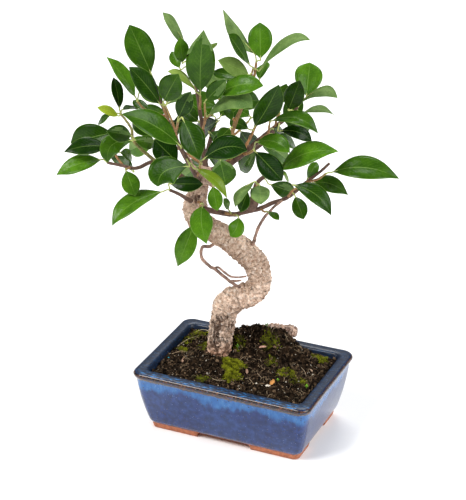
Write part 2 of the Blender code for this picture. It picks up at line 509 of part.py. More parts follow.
LEAVES = [
    # far left
    leaf("branch_left", (-90, 165), (-124, 152.6), 12.5, (11, 16), via=(-108, 161)),
    leaf("twig_left_far", (-85, 175.5), (-117.3, 171.5), 12.5, (6, 14), via=(-101, 176)),
    leaf("twig_left_far", (-80.5, 187), (-112, 179), 18, (-5, -14)),
    leaf("branch_left_up", (-81, 201.5), (-91, 194), 5, (2, -6), wide=7),
    leaf("branch_left_up", (-75.5, 200.6), (-91, 207.3), 6.5, (6, 12), wide=7.5),
    leaf("branch_left_up", (-72, 205.5), (-60, 207.5), 4.5, (0, -12), wide=9),
    leaf("twig_left_front", (-66.5, 184.5), (-85, 188.5), 12, (22, 42)),
    leaf("twig_left_front", (-65.5, 180.5), (-84.5, 162.8), 14, (20, 30), via=(-81, 177)),
    leaf("twig_left_front", (-63.5, 181), (-49, 178), 10, (18, 2)),
    leaf("twig_left_far", (-75, 171), (-66, 166.5), 8, (4, -14)),
    leaf("twig_left_down", (-71, 156), (-64.4, 135.5), 11.7, (22, 30), away=True),
    leaf("branch_left", (-66, 156), (-81, 168.5), 8, (4, -18)),
    # left of the middle
    leaf("branch_front", (-30.5, 177.5), (-73, 202.3), 17, (41, 52), via=(-50, 193.5)),
    leaf("twig_left_mid", (-32, 163), (-49, 181.5), 17.5, (21, 14)),
    leaf("branch_front", (-24.5, 159.5), (-47, 143), 19, (33, 46), via=(-41.5, 155.5)),
    leaf("branch_left_low", (-37, 145), (-12.5, 145), 11, (21, 26)),
    leaf("branch_left_low", (-44.5, 138.5), (-83, 110), 14, (22, 44), via=(-68, 128)),
    leaf("twig_trunk_front", (-13, 126.5), (-10, 94.5), 16, (24, 36), via=(-14, 112)),
    leaf("twig_trunk_front", (-19.5, 111), (-33, 75), 15, (18, 24)),
    leaf("twig_trunk_top", (-5, 143), (-1.6, 122.8), 10.5, (20, 30), away=True),
    leaf("branch_front", (-18, 157.5), (5.8, 133), 7.5, (31, 44), via=(-3.5, 148.5), wide=9),
    leaf("twig_leader_low", (0.5, 165.5), (5, 144), 18, (12, 4)),
    leaf("twig_front_mid", (-11.5, 166), (21, 172.5), 16.5, (33, 46), via=(5, 175.5)),
    leaf("twig_left_inner", (-27, 197.5), (-15, 165), 19, (24, 34)),
    # top left
    leaf("branch_top_left", (-50.5, 234.5), (-65.3, 271.7), 16.5, (-2, -8)),
    leaf("twig_left_top", (-62.5, 216), (-83, 247), 10, (3, 8)),
    leaf("twig_left_top", (-60, 223), (-69, 239), 4, (4, -10), under=True, wide=9),
    leaf("twig_left_top_front", (-44.5, 210.5), (-66.6, 239.3), 14, (16, 26)),
    leaf("branch_left_up", (-74.5, 206.5), (-78.2, 231), 8, (4, -8)),
    leaf("twig_left_top", (-53, 204), (-64, 213), 7, (0, -16)),
    leaf("branch_top_mid", (-24.5, 255), (-41, 281.2), 7.7, (-4, -2), via=(-33.5, 272), under=True, wide=12),
    leaf("branch_top_mid", (-27, 243), (-28.8, 262), 9.5, (0, 10)),
    leaf("branch_top_mid", (-29, 238.5), (-35, 251), 8, (-4, -14)),
    leaf("twig_mid_front", (-14, 220), (-11, 268), 20, (13, 18), via=(-13.5, 244)),
    leaf("branch_top_mid", (-15, 244), (-1, 258), 6, (-8, -24), wide=11),
    leaf("twig_mid_front", (-18, 221), (-38, 236), 6.5, (13, 22), via=(-26, 232), under=True, wide=12),
    leaf("twig_left_top_front", (-41, 213), (-30, 234), 15, (17, 26), away=True),
    leaf("twig_left_inner", (-30.5, 199.5), (-21, 220), 12, (18, 24)),
    leaf("twig_left_top_front", (-38.5, 210), (-29, 220), 5, (15, 2), under=True, wide=10),
    leaf("branch_top_mid", (-15.5, 196), (-28, 207), 11, (-6, -16)),
    # middle
    leaf("twig_mid_right", (-9.5, 213.5), (5.6, 229.5), 11.5, (17, 30)),
    leaf("branch_top_right", (16, 230), (-5, 235), 9, (-4, -18)),
    leaf("branch_top_right", (25.5, 250), (2.8, 283.8), 9.5, (4, 10), under=True, wide=14),
    leaf("branch_top_right", (30.5, 246), (30, 273.5), 16, (7, -4)),
    leaf("twig_top_right", (23, 240.5), (7, 264.5), 9, (14, 24), via=(13.5, 255)),
    leaf("twig_top_right", (30, 237), (67, 260), 8, (14, 24), via=(50, 258.5), wide=14),
    leaf("branch_top_right", (30, 229.5), (35.5, 243), 7.5, (-2, -14), wide=10),
    leaf("twig_top_right", (22, 233), (-0.8, 244.5), 12, (12, 26)),
    leaf("twig_right_inner", (-1, 217.3), (33, 224.5), 13.5, (16, 34), via=(15, 225)),
    leaf("twig_mid_right", (-8.5, 200.5), (25, 207), 13.5, (16, 36), via=(10, 213.5)),
    leaf("twig_right_inner", (1.5, 209.5), (9, 197), 6, (14, 26), wide=9),
    leaf("twig_right_up", (27, 192.5), (44.5, 225.5), 15, (12, 24), away=True),
    leaf("twig_right_up", (22, 190), (8, 197), 9, (4, -10)),
    leaf("branch_top_right", (8, 190.5), (-1, 181), 9.5, (4, 22)),
    leaf("branch_top_mid", (-10.5, 186), (2, 195), 9, (-10, -26)),
    # right
    leaf("twig_far_up", (44, 206), (50, 226), 9, (-4, -16), wide=13),
    leaf("branch_right_far", (52, 206), (60, 229), 14, (-4, 10)),
    leaf("branch_right_far", (65, 216.5), (67, 242.5), 18, (-12, -34)),
    leaf("branch_right_far", (61, 211), (88.3, 214.8), 8, (-8, 6), via=(76, 221), under=True, wide=13),
    leaf("branch_right_far", (63, 203), (86.5, 200.2), 6, (-14, -24), via=(77, 205.5), wide=11),
    leaf("twig_far_low", (40, 196.8), (74.4, 186.5), 11, (14, 30), via=(59, 198.5)),
    leaf("twig_far_low", (40.5, 190), (48, 186), 7, (2, -16)),
    leaf("branch_right_far", (46, 188.5), (69.8, 180), 9.5, (-2, 14), via=(59, 187.5)),
    leaf("twig_right_drop", (28.5, 179.5), (53.4, 171), 12, (18, 38), via=(42, 179.5)),
    leaf("twig_far_low", (44, 184.5), (57.6, 175.5), 8, (2, -14)),
    leaf("twig_right_drop", (27.5, 171.5), (48, 148), 16, (18, 22)),
    leaf("twig_leader_low", (12, 167), (27, 148), 14, (12, 22)),
    leaf("branch_right_far", (31, 178), (43, 174), 7, (-12, -30)),
    leaf("twig_right_leaf", (45.8, 156.5), (90, 172), 15.5, (24, 38), via=(65, 170)),
    leaf("twig_right_tip", (86.6, 155.2), (137, 149.5), 16.5, (22, 34), via=(111, 158.5)),
    leaf("branch_right_low", (67, 149.5), (74, 163), 8, (8, -12)),
    leaf("twig_right_tip", (71.5, 146), (98.4, 136), 11.5, (18, 12), via=(85, 145)),
    leaf("twig_right_low", (57, 144), (85.9, 118.7), 13, (27, 42), via=(74.5, 135.5)),
    leaf("twig_right_low", (58, 134.5), (64.8, 115.5), 11, (20, 30), away=True),
    leaf("branch_right_mid", (39, 144.5), (58, 137), 12, (2, -10)),
    leaf("twig_lump", (30.5, 144), (31.7, 128), 14, (24, 46)),
    leaf("twig_lump", (26.5, 146.5), (12, 126), 7, (25, 40), via=(16.5, 138.5), under=True, wide=13),
    leaf("branch_right_mid", (21.5, 139), (16, 121.5), 9, (16, 22)),
    leaf("twig_right_leaf", (47, 156), (53, 146), 3, (20, 22), wide=7),
    leaf("twig_right_hang", (37.5, 121.5), (46, 115), 5, (21, 26), wide=7),
    leaf("twig_trunk_right", (14.5, 117), (8, 101), 10.5, (24, 34), via=(13, 108)),
    leaf("twig_trunk_top", (6, 149.5), (12.5, 154), 5, (21, 28), wide=6.5),
    leaf("twig_trunk_top", (3, 150.5), (0, 156), 4.5, (20, 26), wide=6),
    leaf("twig_trunk_right", (7, 124), (3, 133), 5, (18, 22), wide=6.5),
    # hidden side
    leaf("branch_back", (-4, 200), (-24, 216), 15, (-62, -74)),
    leaf("branch_back", (1, 200), (14, 222), 16, (-62, -72)),
    leaf("branch_back", (-1, 196), (-18, 182), 15, (-66, -88)),
    leaf("branch_back", (-7, 187), (8, 168), 16, (-60, -86)),
    leaf("branch_back", (-15, 160), (-30, 148), 15, (-30, -52)),
    leaf("branch_back", (-10, 170), (6, 158), 14, (-44, -64)),
    leaf("twig_back_left", (-49, 185), (-64, 200), 15, (-43, -52)),
    leaf("twig_back_left", (-49, 181), (-68, 172), 15, (-44, -62)),
    leaf("twig_back_left", (-40, 180), (-34, 197), 14, (-46, -62)),
    leaf("twig_back_left", (-33, 172), (-46, 156), 15, (-40, -60)),
    leaf("twig_back_left", (-22, 171), (-14, 156), 13, (-42, -68)),
    leaf("twig_back_mid", (25, 199), (44, 210), 15, (-57, -66)),
    leaf("twig_back_mid", (23, 200), (10, 208), 14, (-60, -82)),
    leaf("twig_back_mid", (16, 188), (26, 172), 15, (-56, -80)),
    leaf("twig_back_mid", (8, 186), (-4, 174), 13, (-50, -30)),
    leaf("branch_back_right", (48, 199), (62, 214), 14, (-52, -56)),
    leaf("branch_back_right", (49, 196), (68, 190), 15, (-52, -70)),
    leaf("branch_back_right", (44, 190), (38, 170), 15, (-48, -70)),
    leaf("branch_back_right", (34, 178), (52, 164), 14, (-38, -58)),
    leaf("branch_back_right", (28, 174), (16, 156), 14, (-28, -50)),
    leaf("twig_back_top", (8, 219), (18, 240), 14, (-29, -36)),
    leaf("twig_back_top", (5, 219), (-12, 236), 14, (-30, -42)),
    leaf("twig_back_top", (8, 214), (30, 212), 14, (-30, -48)),
    leaf("twig_back_top", (-2, 208), (-20, 216), 13, (-24, -44)),
    leaf("twig_back_up_left", (-42, 211), (-58, 226), 14, (-29, -40)),
    leaf("twig_back_up_left", (-39, 211), (-34, 231), 13, (-30, -44)),
    leaf("twig_back_up_left", (-40, 204), (-60, 200), 14, (-28, -46)),
    leaf("twig_back_up_left", (-35, 195), (-20, 196), 13, (-24, -46)),
]

# Width of a blade along its length, as a share of the full width.
BLADE = [(0.10, 0.36), (0.30, 0.84), (0.52, 1.0), (0.76, 0.76), (0.92, 0.34)]


def nearest_on(path, point):
    best = None
    for a, b in zip(path[:-1], path[1:]):
        a, b = Vector(a[:3]), Vector(b[:3])
        share = max(0.0, min(1.0, (point - a).dot(b - a) / max((b - a).length_squared, 1e-12)))
        here = a.lerp(b, share)
        if best is None or (here - point).length < (best - point).length:
            best = here
    return best


def leaf_shape(item, start, base, tip, via, grow=0.0, more_turn=0.0):
    """Rings of four points (edge, upper side, edge, underside) from inside the stem to the blade's tip."""
    along = tip - base
    length = along.length
    scale = LEAF_GIRTH * TREE_SIZE
    seen = item["seen"] * MM * scale
    width = (item["wide"] * MM * scale) if item["wide"] else max(seen, LEAF_RATIO * LEAF_GIRTH * length)
    tangent = along.normalized()
    face = (EYE - tangent * EYE.dot(tangent)).normalized()
    angle = math.acos(min(1.0, seen / width))
    swings = [Quaternion(tangent, s * angle) @ face for s in (1, -1)]
    swings.sort(key=lambda v: v.dot(UP), reverse=not item["away"])
    face = Quaternion(tangent, more_turn) @ swings[0]
    if item["under"]:
        face = -face
    bend = via - (base + tip) / 2 if via else face * 0.05 * length
    control = (base + tip) / 2 + bend * 2

    def at(t):
        return base * (1 - t) ** 2 + control * 2 * t * (1 - t) + tip * t ** 2

    thick = PETIOLE + grow
    rings = []
    swell = base - (control - base).normalized() * min((base - start).length * 0.3, 2 * MM)
    middle = start.lerp(swell, 0.55) + UP * min((base - start).length * 0.06, 1.2 * MM)
    for here, ahead, r in ((start, middle, thick * 0.9), (middle, swell, thick * 0.9), (base, at(0.1), thick)):
        t = (ahead - here).normalized()
        n = (face - t * face.dot(t)).normalized()
        s = t.cross(n)
        rings.append([here - s * r, here + n * r, here + s * r, here - n * r])
    for t, share in BLADE:
        here, ahead = at(t), at(min(t + 0.05, 1))
        d = (ahead - here).normalized() if t < 1 else tangent
        n = (face - d * face.dot(d)).normalized()
        s = d.cross(n)
        half = width / 2 * share + grow
        rise = n * half * math.sin(LEAF_FOLD)
        half *= math.cos(LEAF_FOLD)
        h = LEAF_HALF * (1.25 - 0.5 * t) + grow
        rings.append([here - s * half + rise, here + n * h, here + s * half + rise, here - n * h])
    rings.append([tip + tangent * grow])
    return rings


def tree_of(verts, faces):
    return BVHTree.FromPolygons([tuple(v) for v in verts], faces)


def tree_from(obj):
    return tree_of([v.co for v in obj.data.vertices], [tuple(p.vertices) for p in obj.data.polygons])


def place(item, path, taken, own):
    """The leaf's rings, its ends moved nearer or farther until it clears everything already placed."""
    near0, near1 = item["near"]
    moves = (0, 4, -4, 8, -8, 13, -13, 19, -19, 26, -26, 34, -34)
    tries = sorted(((abs(m1) + 1.6 * abs(m0) + abs(w) * 12, m0, m1, w)
                    for m0 in moves[:7] for m1 in moves for w in (0, 0.35, -0.35, 0.8, -0.8)), key=lambda t: t[0])
    for _, m0, m1, w in tries:
        base, tip = spot(*item["base"], near0 + m0), spot(*item["tip"], near1 + m1)
        via = spot(*item["via"], (near0 + near1 + m0 + m1) / 2 + 2) if item["via"] else None
        start = nearest_on(path[len(path) // 3:], base) + item["apart"]
        rings = leaf_shape(item, start, base, tip, via, grow=0.45 * MM, more_turn=w)
        test = tree_of(*loft(rings[1:], tip=True))
        if any(test.overlap(other) for name, other in taken if name != own):
            continue
        blade = tree_of(*loft(rings[2:], tip=True))
        if any(blade.overlap(other) for name, other in taken if name == own):
            continue
        rings = leaf_shape(item, start, base, tip, via, more_turn=w)
        root = tree_of(*loft(rings[:3]))
        if any(root.overlap(other) for name, other in taken if name not in (own, own + " leaf")):
            continue
        return rings
    return None


def make_tree():
    wood = {"trunk": wood_path(TRUNK)}
    girth = {"trunk": (12, 0.05)}
    tubes = [("trunk", tree_from(tube("test", wood["trunk"], 12, grow=0.45 * MM, knobs=0.05)))]
    trunk = tube("trunk", wood["trunk"], 12, knobs=0.05)
    paint(trunk, (0.42, 0.32, 0.24), 0.85)
    made = {"trunk": trunk}

    roots = {"aerial_root_left": AERIAL_LEFT, "aerial_root_right": AERIAL_RIGHT}
    for name, points in roots.items():
        path = wood_path(points)
        wood[name] = path
        root = tube(name, path, 6)
        if name == "aerial_root_left":
            combine(root, tube("tool", wood_path(AERIAL_FORK), 6), "UNION")
        combine(root, tube("tool", wood["trunk"], 12, grow=FIT, knobs=0.05), "DIFFERENCE")
        keep_main(root)
        paint(root, (0.30, 0.19, 0.14), 0.8)
        tubes.append((name, tree_from(tube("test", path, 6, grow=0.45 * MM))))
        made[name] = root

    for name, parent, points in STEMS:
        best = None
        for shift in (0, 4, -4, 8, -8, 12, -12):
            moved = [(a, q, d + shift * i / (len(points) - 1), r) for i, (a, q, d, r) in enumerate(points)]
            path = wood_path(moved, start=wood[parent])
            probe = tree_from(tube("test", path, 6, grow=0.35 * MM))
            if not any(probe.overlap(t) for n, t in tubes if n not in (parent,)):
                best = path
                break
        if best is None:
            print("STEM NOT CLEAR", name)
            best = wood_path(points, start=wood[parent])
        wood[name] = best
        sides = 7 if name.startswith(("branch", "leader")) else 5
        girth[name] = (sides, 0.0)
        made[name] = tube(name, best, sides, blunt=0.3)
        parent_sides, knobs = girth[parent]
        combine(made[name], tube("tool", wood[parent], parent_sides, grow=FIT, knobs=knobs), "DIFFERENCE")
        keep_main(made[name])
        tubes.append((name, tree_from(made[name])))
    # the right aerial root reaches the low right branch: it is cut back from it
    combine(made["aerial_root_right"], tube("tool", wood["branch_right_low"], 7, grow=FIT), "DIFFERENCE")
    keep_main(made["aerial_root_right"])

    dropped = 0
    for index, item in enumerate(LEAVES):
        # petioles that leave a stem at one spot start a hair apart, so that no two skins coincide
        item["apart"] = Vector((math.sin(1.7 * index), math.cos(2.3 * index), math.sin(0.9 * index))) * 0.25 * MM
        rings = place(item, wood[item["stem"]], tubes, item["stem"])
        if rings is None:
            dropped += 1
            print("LEAF LEFT OUT", index, item["stem"], item["base"])
            continue
        along = (Vector(wood[item["stem"]][-3][:3]) - Vector(wood[item["stem"]][-1][:3])).normalized()
        for nudge in (0, 0.15, -0.15, 0.3, -0.3, 0.45, -0.45, 1.1, 1.7, 2.4):
            move = along * abs(nudge) * MM + Vector((nudge, -nudge * 0.7, nudge * 0.5)) * min(1, 0.3 / (abs(nudge) + 0.01)) * MM
            skin = loft([[p + move for p in rings[0]]] + rings[1:], tip=True)
            if combine(made[item["stem"]], mesh_object("tool", *skin), "UNION", whole=True):
                tubes.append((item["stem"] + " leaf", tree_of(*skin)))
                break
        else:
            dropped += 1
            print("LEAF NOT JOINED", index, item["stem"], item["base"])
    for name, _, _ in STEMS:
        keep_main(made[name])
        paint(made[name], (0.05, 0.16, 0.03), 0.4)
    print("leaves", len(LEAVES), "left out", dropped)
    for item in [o for o in bpy.data.objects if o.name.startswith("test")]:
        bpy.data.objects.remove(item, do_unlink=True)
    return wood


# ---- moss --------------------------------------------------------------------------------------------------
# Moss pads: name, middle (x, y), half sizes, height.
MOSS = [
    ("moss_front", (-5, -6), (10, 7.5), 5.5),
    ("moss_back_left", (-53, 31), (7, 4.5), 3),
    ("moss_right", (37, 0), (8, 6), 3.5),
    ("moss_corner", (53, 31), (6, 4.5), 3),
    ("moss_left", (-55, 3), (6, 5), 2.5),
]


def make_moss(name, middle, half, height):
    x0, y0 = middle[0] * MM, middle[1] * MM
    rings = []
    base = ground(x0, y0)
    inset = inner_inset(SOIL_EDGE) + 2.5 * MM
    reach_x, reach_y = POT_LENGTH / 2 - inset, POT_WIDTH / 2 - inset
    for level, share in ((-3.0, 0.9), (0.0, 1.0), (0.5, 0.88), (0.85, 0.55)):
        ring = []
        for j in range(12):
            turn = 2 * math.pi * j / 12
            wave = 1 + 0.14 * math.sin(3 * turn + x0 * 900) + 0.08 * math.sin(5 * turn)
            x = x0 + half[0] * MM * share * wave * math.cos(turn)
            y = y0 + half[1] * MM * share * wave * math.sin(turn)
            x, y = max(-reach_x, min(reach_x, x)), max(-reach_y, min(reach_y, y))
            z = (base - 4 * MM) if level < 0 else ground(x, y) + 0.6 * MM + level * height * MM
            ring.append(Vector((x, y, z)))
        rings.append(ring)
    rings.append([Vector((x0, y0, ground(x0, y0) + 0.6 * MM + height * MM))])
    pad = mesh_object(name, *loft(rings, tip=True))
    combine(pad, soil_solid("tool", lift=FIT, wider=0.1 * MM), "DIFFERENCE")
    keep_main(pad)
    paint(pad, (0.12, 0.20, 0.03), 0.95)
    return pad


def make_ground(wood):
    soil = soil_solid("soil")
    stub_path = wood_path(ROOT_STUB)
    combine(soil, tube("tool", wood["trunk"][:9], 12, grow=FIT, knobs=0.05), "DIFFERENCE")
    combine(soil, tube("tool", stub_path, 10, grow=FIT, knobs=0.05), "DIFFERENCE")
    for side in (-1, 1):
        pocket = (MESH_SIDE + 2 * FIT, MESH_SIDE + 2 * FIT, 2 * (MESH_THICK + 2 * FIT))
        combine(soil, block(pocket, (side * DRAIN_SPREAD, 0, INNER_FLOOR)), "DIFFERENCE")
    keep_main(soil)
    paint(soil, (0.035, 0.024, 0.018), 0.95)
    stub = tube("root_stub", stub_path, 10, knobs=0.05)
    paint(stub, (0.34, 0.24, 0.17), 0.85)
    for pad in MOSS:
        make_moss(*pad)


make_pot()
make_screen("drain_screen_left", -DRAIN_SPREAD)
make_screen("drain_screen_right", DRAIN_SPREAD)
make_ground(make_tree())

# The frame: middle of the whole part's box at the origin, its lowest point at zero height.
corners = [v.co for o in bpy.data.objects if o.type == "MESH" for v in o.data.vertices]
lows = [min(c[i] for c in corners) for i in range(3)]
highs = [max(c[i] for c in corners) for i in range(3)]
shift = Matrix.Translation(Vector((-(lows[0] + highs[0]) / 2, -(lows[1] + highs[1]) / 2, -lows[2])))
for item in bpy.data.objects:
    item.data.transform(shift)
    item.data.update()
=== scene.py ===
"""Bonsai in a glazed pot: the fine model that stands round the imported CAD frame.

Laid out as an add-on: colours and amounts are properties, every group of pieces has an operator, and the
sidebar panel lists them.  The tree is laid out on an elevation drawing, in millimetres from the foot of the
trunk: across, up, and how near the eye.
"""
import math
import random
from functools import cache

import bmesh
import bpy
from mathutils import Matrix, Quaternion, Vector, noise
from mathutils.bvhtree import BVHTree


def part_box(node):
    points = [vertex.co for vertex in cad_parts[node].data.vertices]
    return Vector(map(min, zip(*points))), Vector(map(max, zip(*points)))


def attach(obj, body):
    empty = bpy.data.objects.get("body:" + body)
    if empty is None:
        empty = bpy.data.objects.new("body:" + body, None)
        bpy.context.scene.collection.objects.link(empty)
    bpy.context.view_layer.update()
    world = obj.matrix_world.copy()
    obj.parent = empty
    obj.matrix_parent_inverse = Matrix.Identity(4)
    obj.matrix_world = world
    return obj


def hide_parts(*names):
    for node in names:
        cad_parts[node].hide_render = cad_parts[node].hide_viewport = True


bl_info = {
    "name": "Bonsai in a Glazed Pot",
    "version": (1, 0, 0),
    "blender": (4, 5, 0),
    "location": "View3D > Sidebar > Bonsai",
    "description": "Fine pieces, finishes and studio for a fig bonsai in a footed ceramic pot",
    "category": "Object",
}

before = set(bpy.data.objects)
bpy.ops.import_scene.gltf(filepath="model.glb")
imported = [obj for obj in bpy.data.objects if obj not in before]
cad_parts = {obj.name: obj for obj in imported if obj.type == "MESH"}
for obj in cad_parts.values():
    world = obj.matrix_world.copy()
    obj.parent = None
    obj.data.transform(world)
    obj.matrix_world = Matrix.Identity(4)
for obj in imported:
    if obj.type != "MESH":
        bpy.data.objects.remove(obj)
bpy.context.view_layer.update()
POT_LOW, POT_HIGH = (Vector(c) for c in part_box("pot"))

MM = 0.001
FULL_TURN = 2 * math.pi

# The pot, as in the CAD part.
ORIGIN = Vector(((POT_LOW.x + POT_HIGH.x) / 2, (POT_LOW.y + POT_HIGH.y) / 2, POT_LOW.z))
POT_LENGTH = POT_HIGH.x - POT_LOW.x
POT_WIDTH = POT_HIGH.y - POT_LOW.y
POT_HEIGHT = POT_HIGH.z - POT_LOW.z
POT_TAPER = 10.5 * MM
CORNER_RADIUS = 9 * MM
RIM_WIDTH = 10 * MM
WALL = 7.5 * MM
FLOOR = 6 * MM
FOOT_HEIGHT = 5 * MM
FOOT_RING = 8 * MM
FRONT_ARCH = 46 * MM
SIDE_ARCH = 34 * MM
DRAIN_HOLE = 12 * MM
DRAIN_SPREAD = 30 * MM
INNER_FLOOR = FOOT_HEIGHT + FLOOR

# The soil, as in the CAD part, and the room it leaves for the trunk.
SOIL_DROP = 4.5 * MM
SOIL_EDGE = POT_HEIGHT - SOIL_DROP
MOUND_HEIGHT = 26 * MM
COLLAR_HEIGHT = 5 * MM
FOOT_X, FOOT_Y, FOOT_RISE = -23.5 * MM, 6 * MM, 1.5 * MM
TRUNK_ROOM = 9.3 * MM
SOIL_CELLS = (190, 70)      # round the pot, and from its middle to its wall
AT_WALL = 0.985             # share of the way to the wall where nothing grows any more
MOUND = (FOOT_X + 28 * MM, FOOT_Y + 24 * MM)

# The elevation drawing is turned from the pot's long side and seen from a little above level.
TREE_TURN = math.radians(24)
LOOK_DOWN = math.radians(25.6)
LOOK_SHRINK = 0.00086       # for every millimetre nearer the eye, towards the centre
LOOK_CENTRE = (10.35, 89.1)
LEAF_RATIO = 0.40
LEAF_HALF = 0.34 * MM
LEAF_FOLD = math.radians(17)
PETIOLE = 0.65 * MM
RIGHT = Vector((math.cos(TREE_TURN), math.sin(TREE_TURN), 0))
NEAR = Vector((math.sin(TREE_TURN), -math.cos(TREE_TURN), 0))
UP = Vector((0, 0, 1))
EYE = (NEAR * math.cos(LOOK_DOWN) + UP * math.sin(LOOK_DOWN)).normalized()
FOOT = ORIGIN + Vector((FOOT_X, FOOT_Y, POT_HEIGHT + FOOT_RISE))


def spot(across, up, near):
    """A point of the tree's elevation drawing, in the frame."""
    k = 1 - LOOK_SHRINK * near
    across = LOOK_CENTRE[0] + (across - LOOK_CENTRE[0]) * k
    up = LOOK_CENTRE[1] + (up - LOOK_CENTRE[1]) * k
    rise = up + near * math.tan(LOOK_DOWN)
    return FOOT + (RIGHT * across + NEAR * near + UP * rise) * MM


# The wood: (across, up, near, radius) along each piece.
TRUNK = [(-1, -16, 0, 9.0), (-0.8, -8, 0, 10.6), (-0.5, 0, 0, 9.9), (0.5, 10, 0, 9.1), (1.5, 20, 0, 9.4),
         (2.7, 30, 1, 9.9), (5, 39, 2, 10.2), (10, 45.5, 3, 10.2), (17, 48.6, 4, 9.5), (23.8, 50.3, 5, 9.1),
         (29, 54.8, 5, 9.2), (31, 61, 5, 9.3), (30.5, 68.5, 4, 9.3), (28.5, 76, 3, 9.5), (24.5, 82.5, 2, 9.5),
         (19, 88.3, 1, 9.5), (12, 94.3, 0, 9.3), (4.8, 99.8, -1, 9.0), (-2.5, 104.5, -2, 9.0),
         (-9.8, 108.8, -3, 9.0), (-15.6, 114.3, -3, 9.3), (-18.4, 122, -3, 9.3), (-18, 131, -3, 8.8),
         (-16, 140, -3, 7.2), (-13, 149, -4, 5.6), (-9, 158, -4, 4.4)]
AERIAL_LEFT = [(0, 99, 0, 1.4), (-6.9, 92.5, 1, 1.4), (-12.8, 92, 2, 1.3), (-14.5, 87, 3, 1.3),
               (-13.2, 81, 4, 1.3), (-7.8, 75, 5, 1.35), (-3.3, 72.3, 6, 1.35), (2, 67.2, 6, 1.3),
               (7.4, 62.5, 6, 1.25), (12, 58.8, 6, 1.25), (19, 55, 6, 1.2), (22, 51, 6, 1.2)]
AERIAL_FORK = [(-4.5, 73.1, 5.6, 1.0), (-1, 74, 7, 0.95), (3, 70.5, 8.5, 0.9), (8, 66.4, 9.5, 0.9),
               (14, 65.5, 9, 0.85), (20.5, 66.2, 8, 0.8)]
AERIAL_RIGHT = [(22, 86, 2, 1.5), (27, 97.5, 4, 1.4), (27.3, 100, 5, 1.3), (29.6, 107.5, 7, 1.25),
                (33, 114.5, 9, 1.2), (36.2, 119.4, 10, 1.2), (38.8, 122.2, 12, 1.1), (42.5, 126.5, 16.8, 1.1),
                (48, 131.2, 17.6, 1.0)]
BROKEN_END = [(8, 62, 6.5, 1.1), (12, 62.2, 8, 1.0), (16.8, 62.8, 9, 0.9)]
ROOT_STUB = [(36, 19.5, -11, 4.2), (42, 19.3, -11, 5.0), (46, 18.6, -11, 5.3), (51, 18.2, -11, 4.8),
             (56, 17.6, -11, 5.3), (59.5, 17, -11, 4.2)]
CUT_SHOOTS = [[(-12, 150, -3, 2.4), (-17, 155, 0, 2.2), (-20.5, 160, 2, 1.6), (-24.5, 168, 3, 1.2)],
              [(-15, 146, -2, 3.0), (-9, 147, 4, 2.6), (-4, 143.5, 8, 2.0)]]

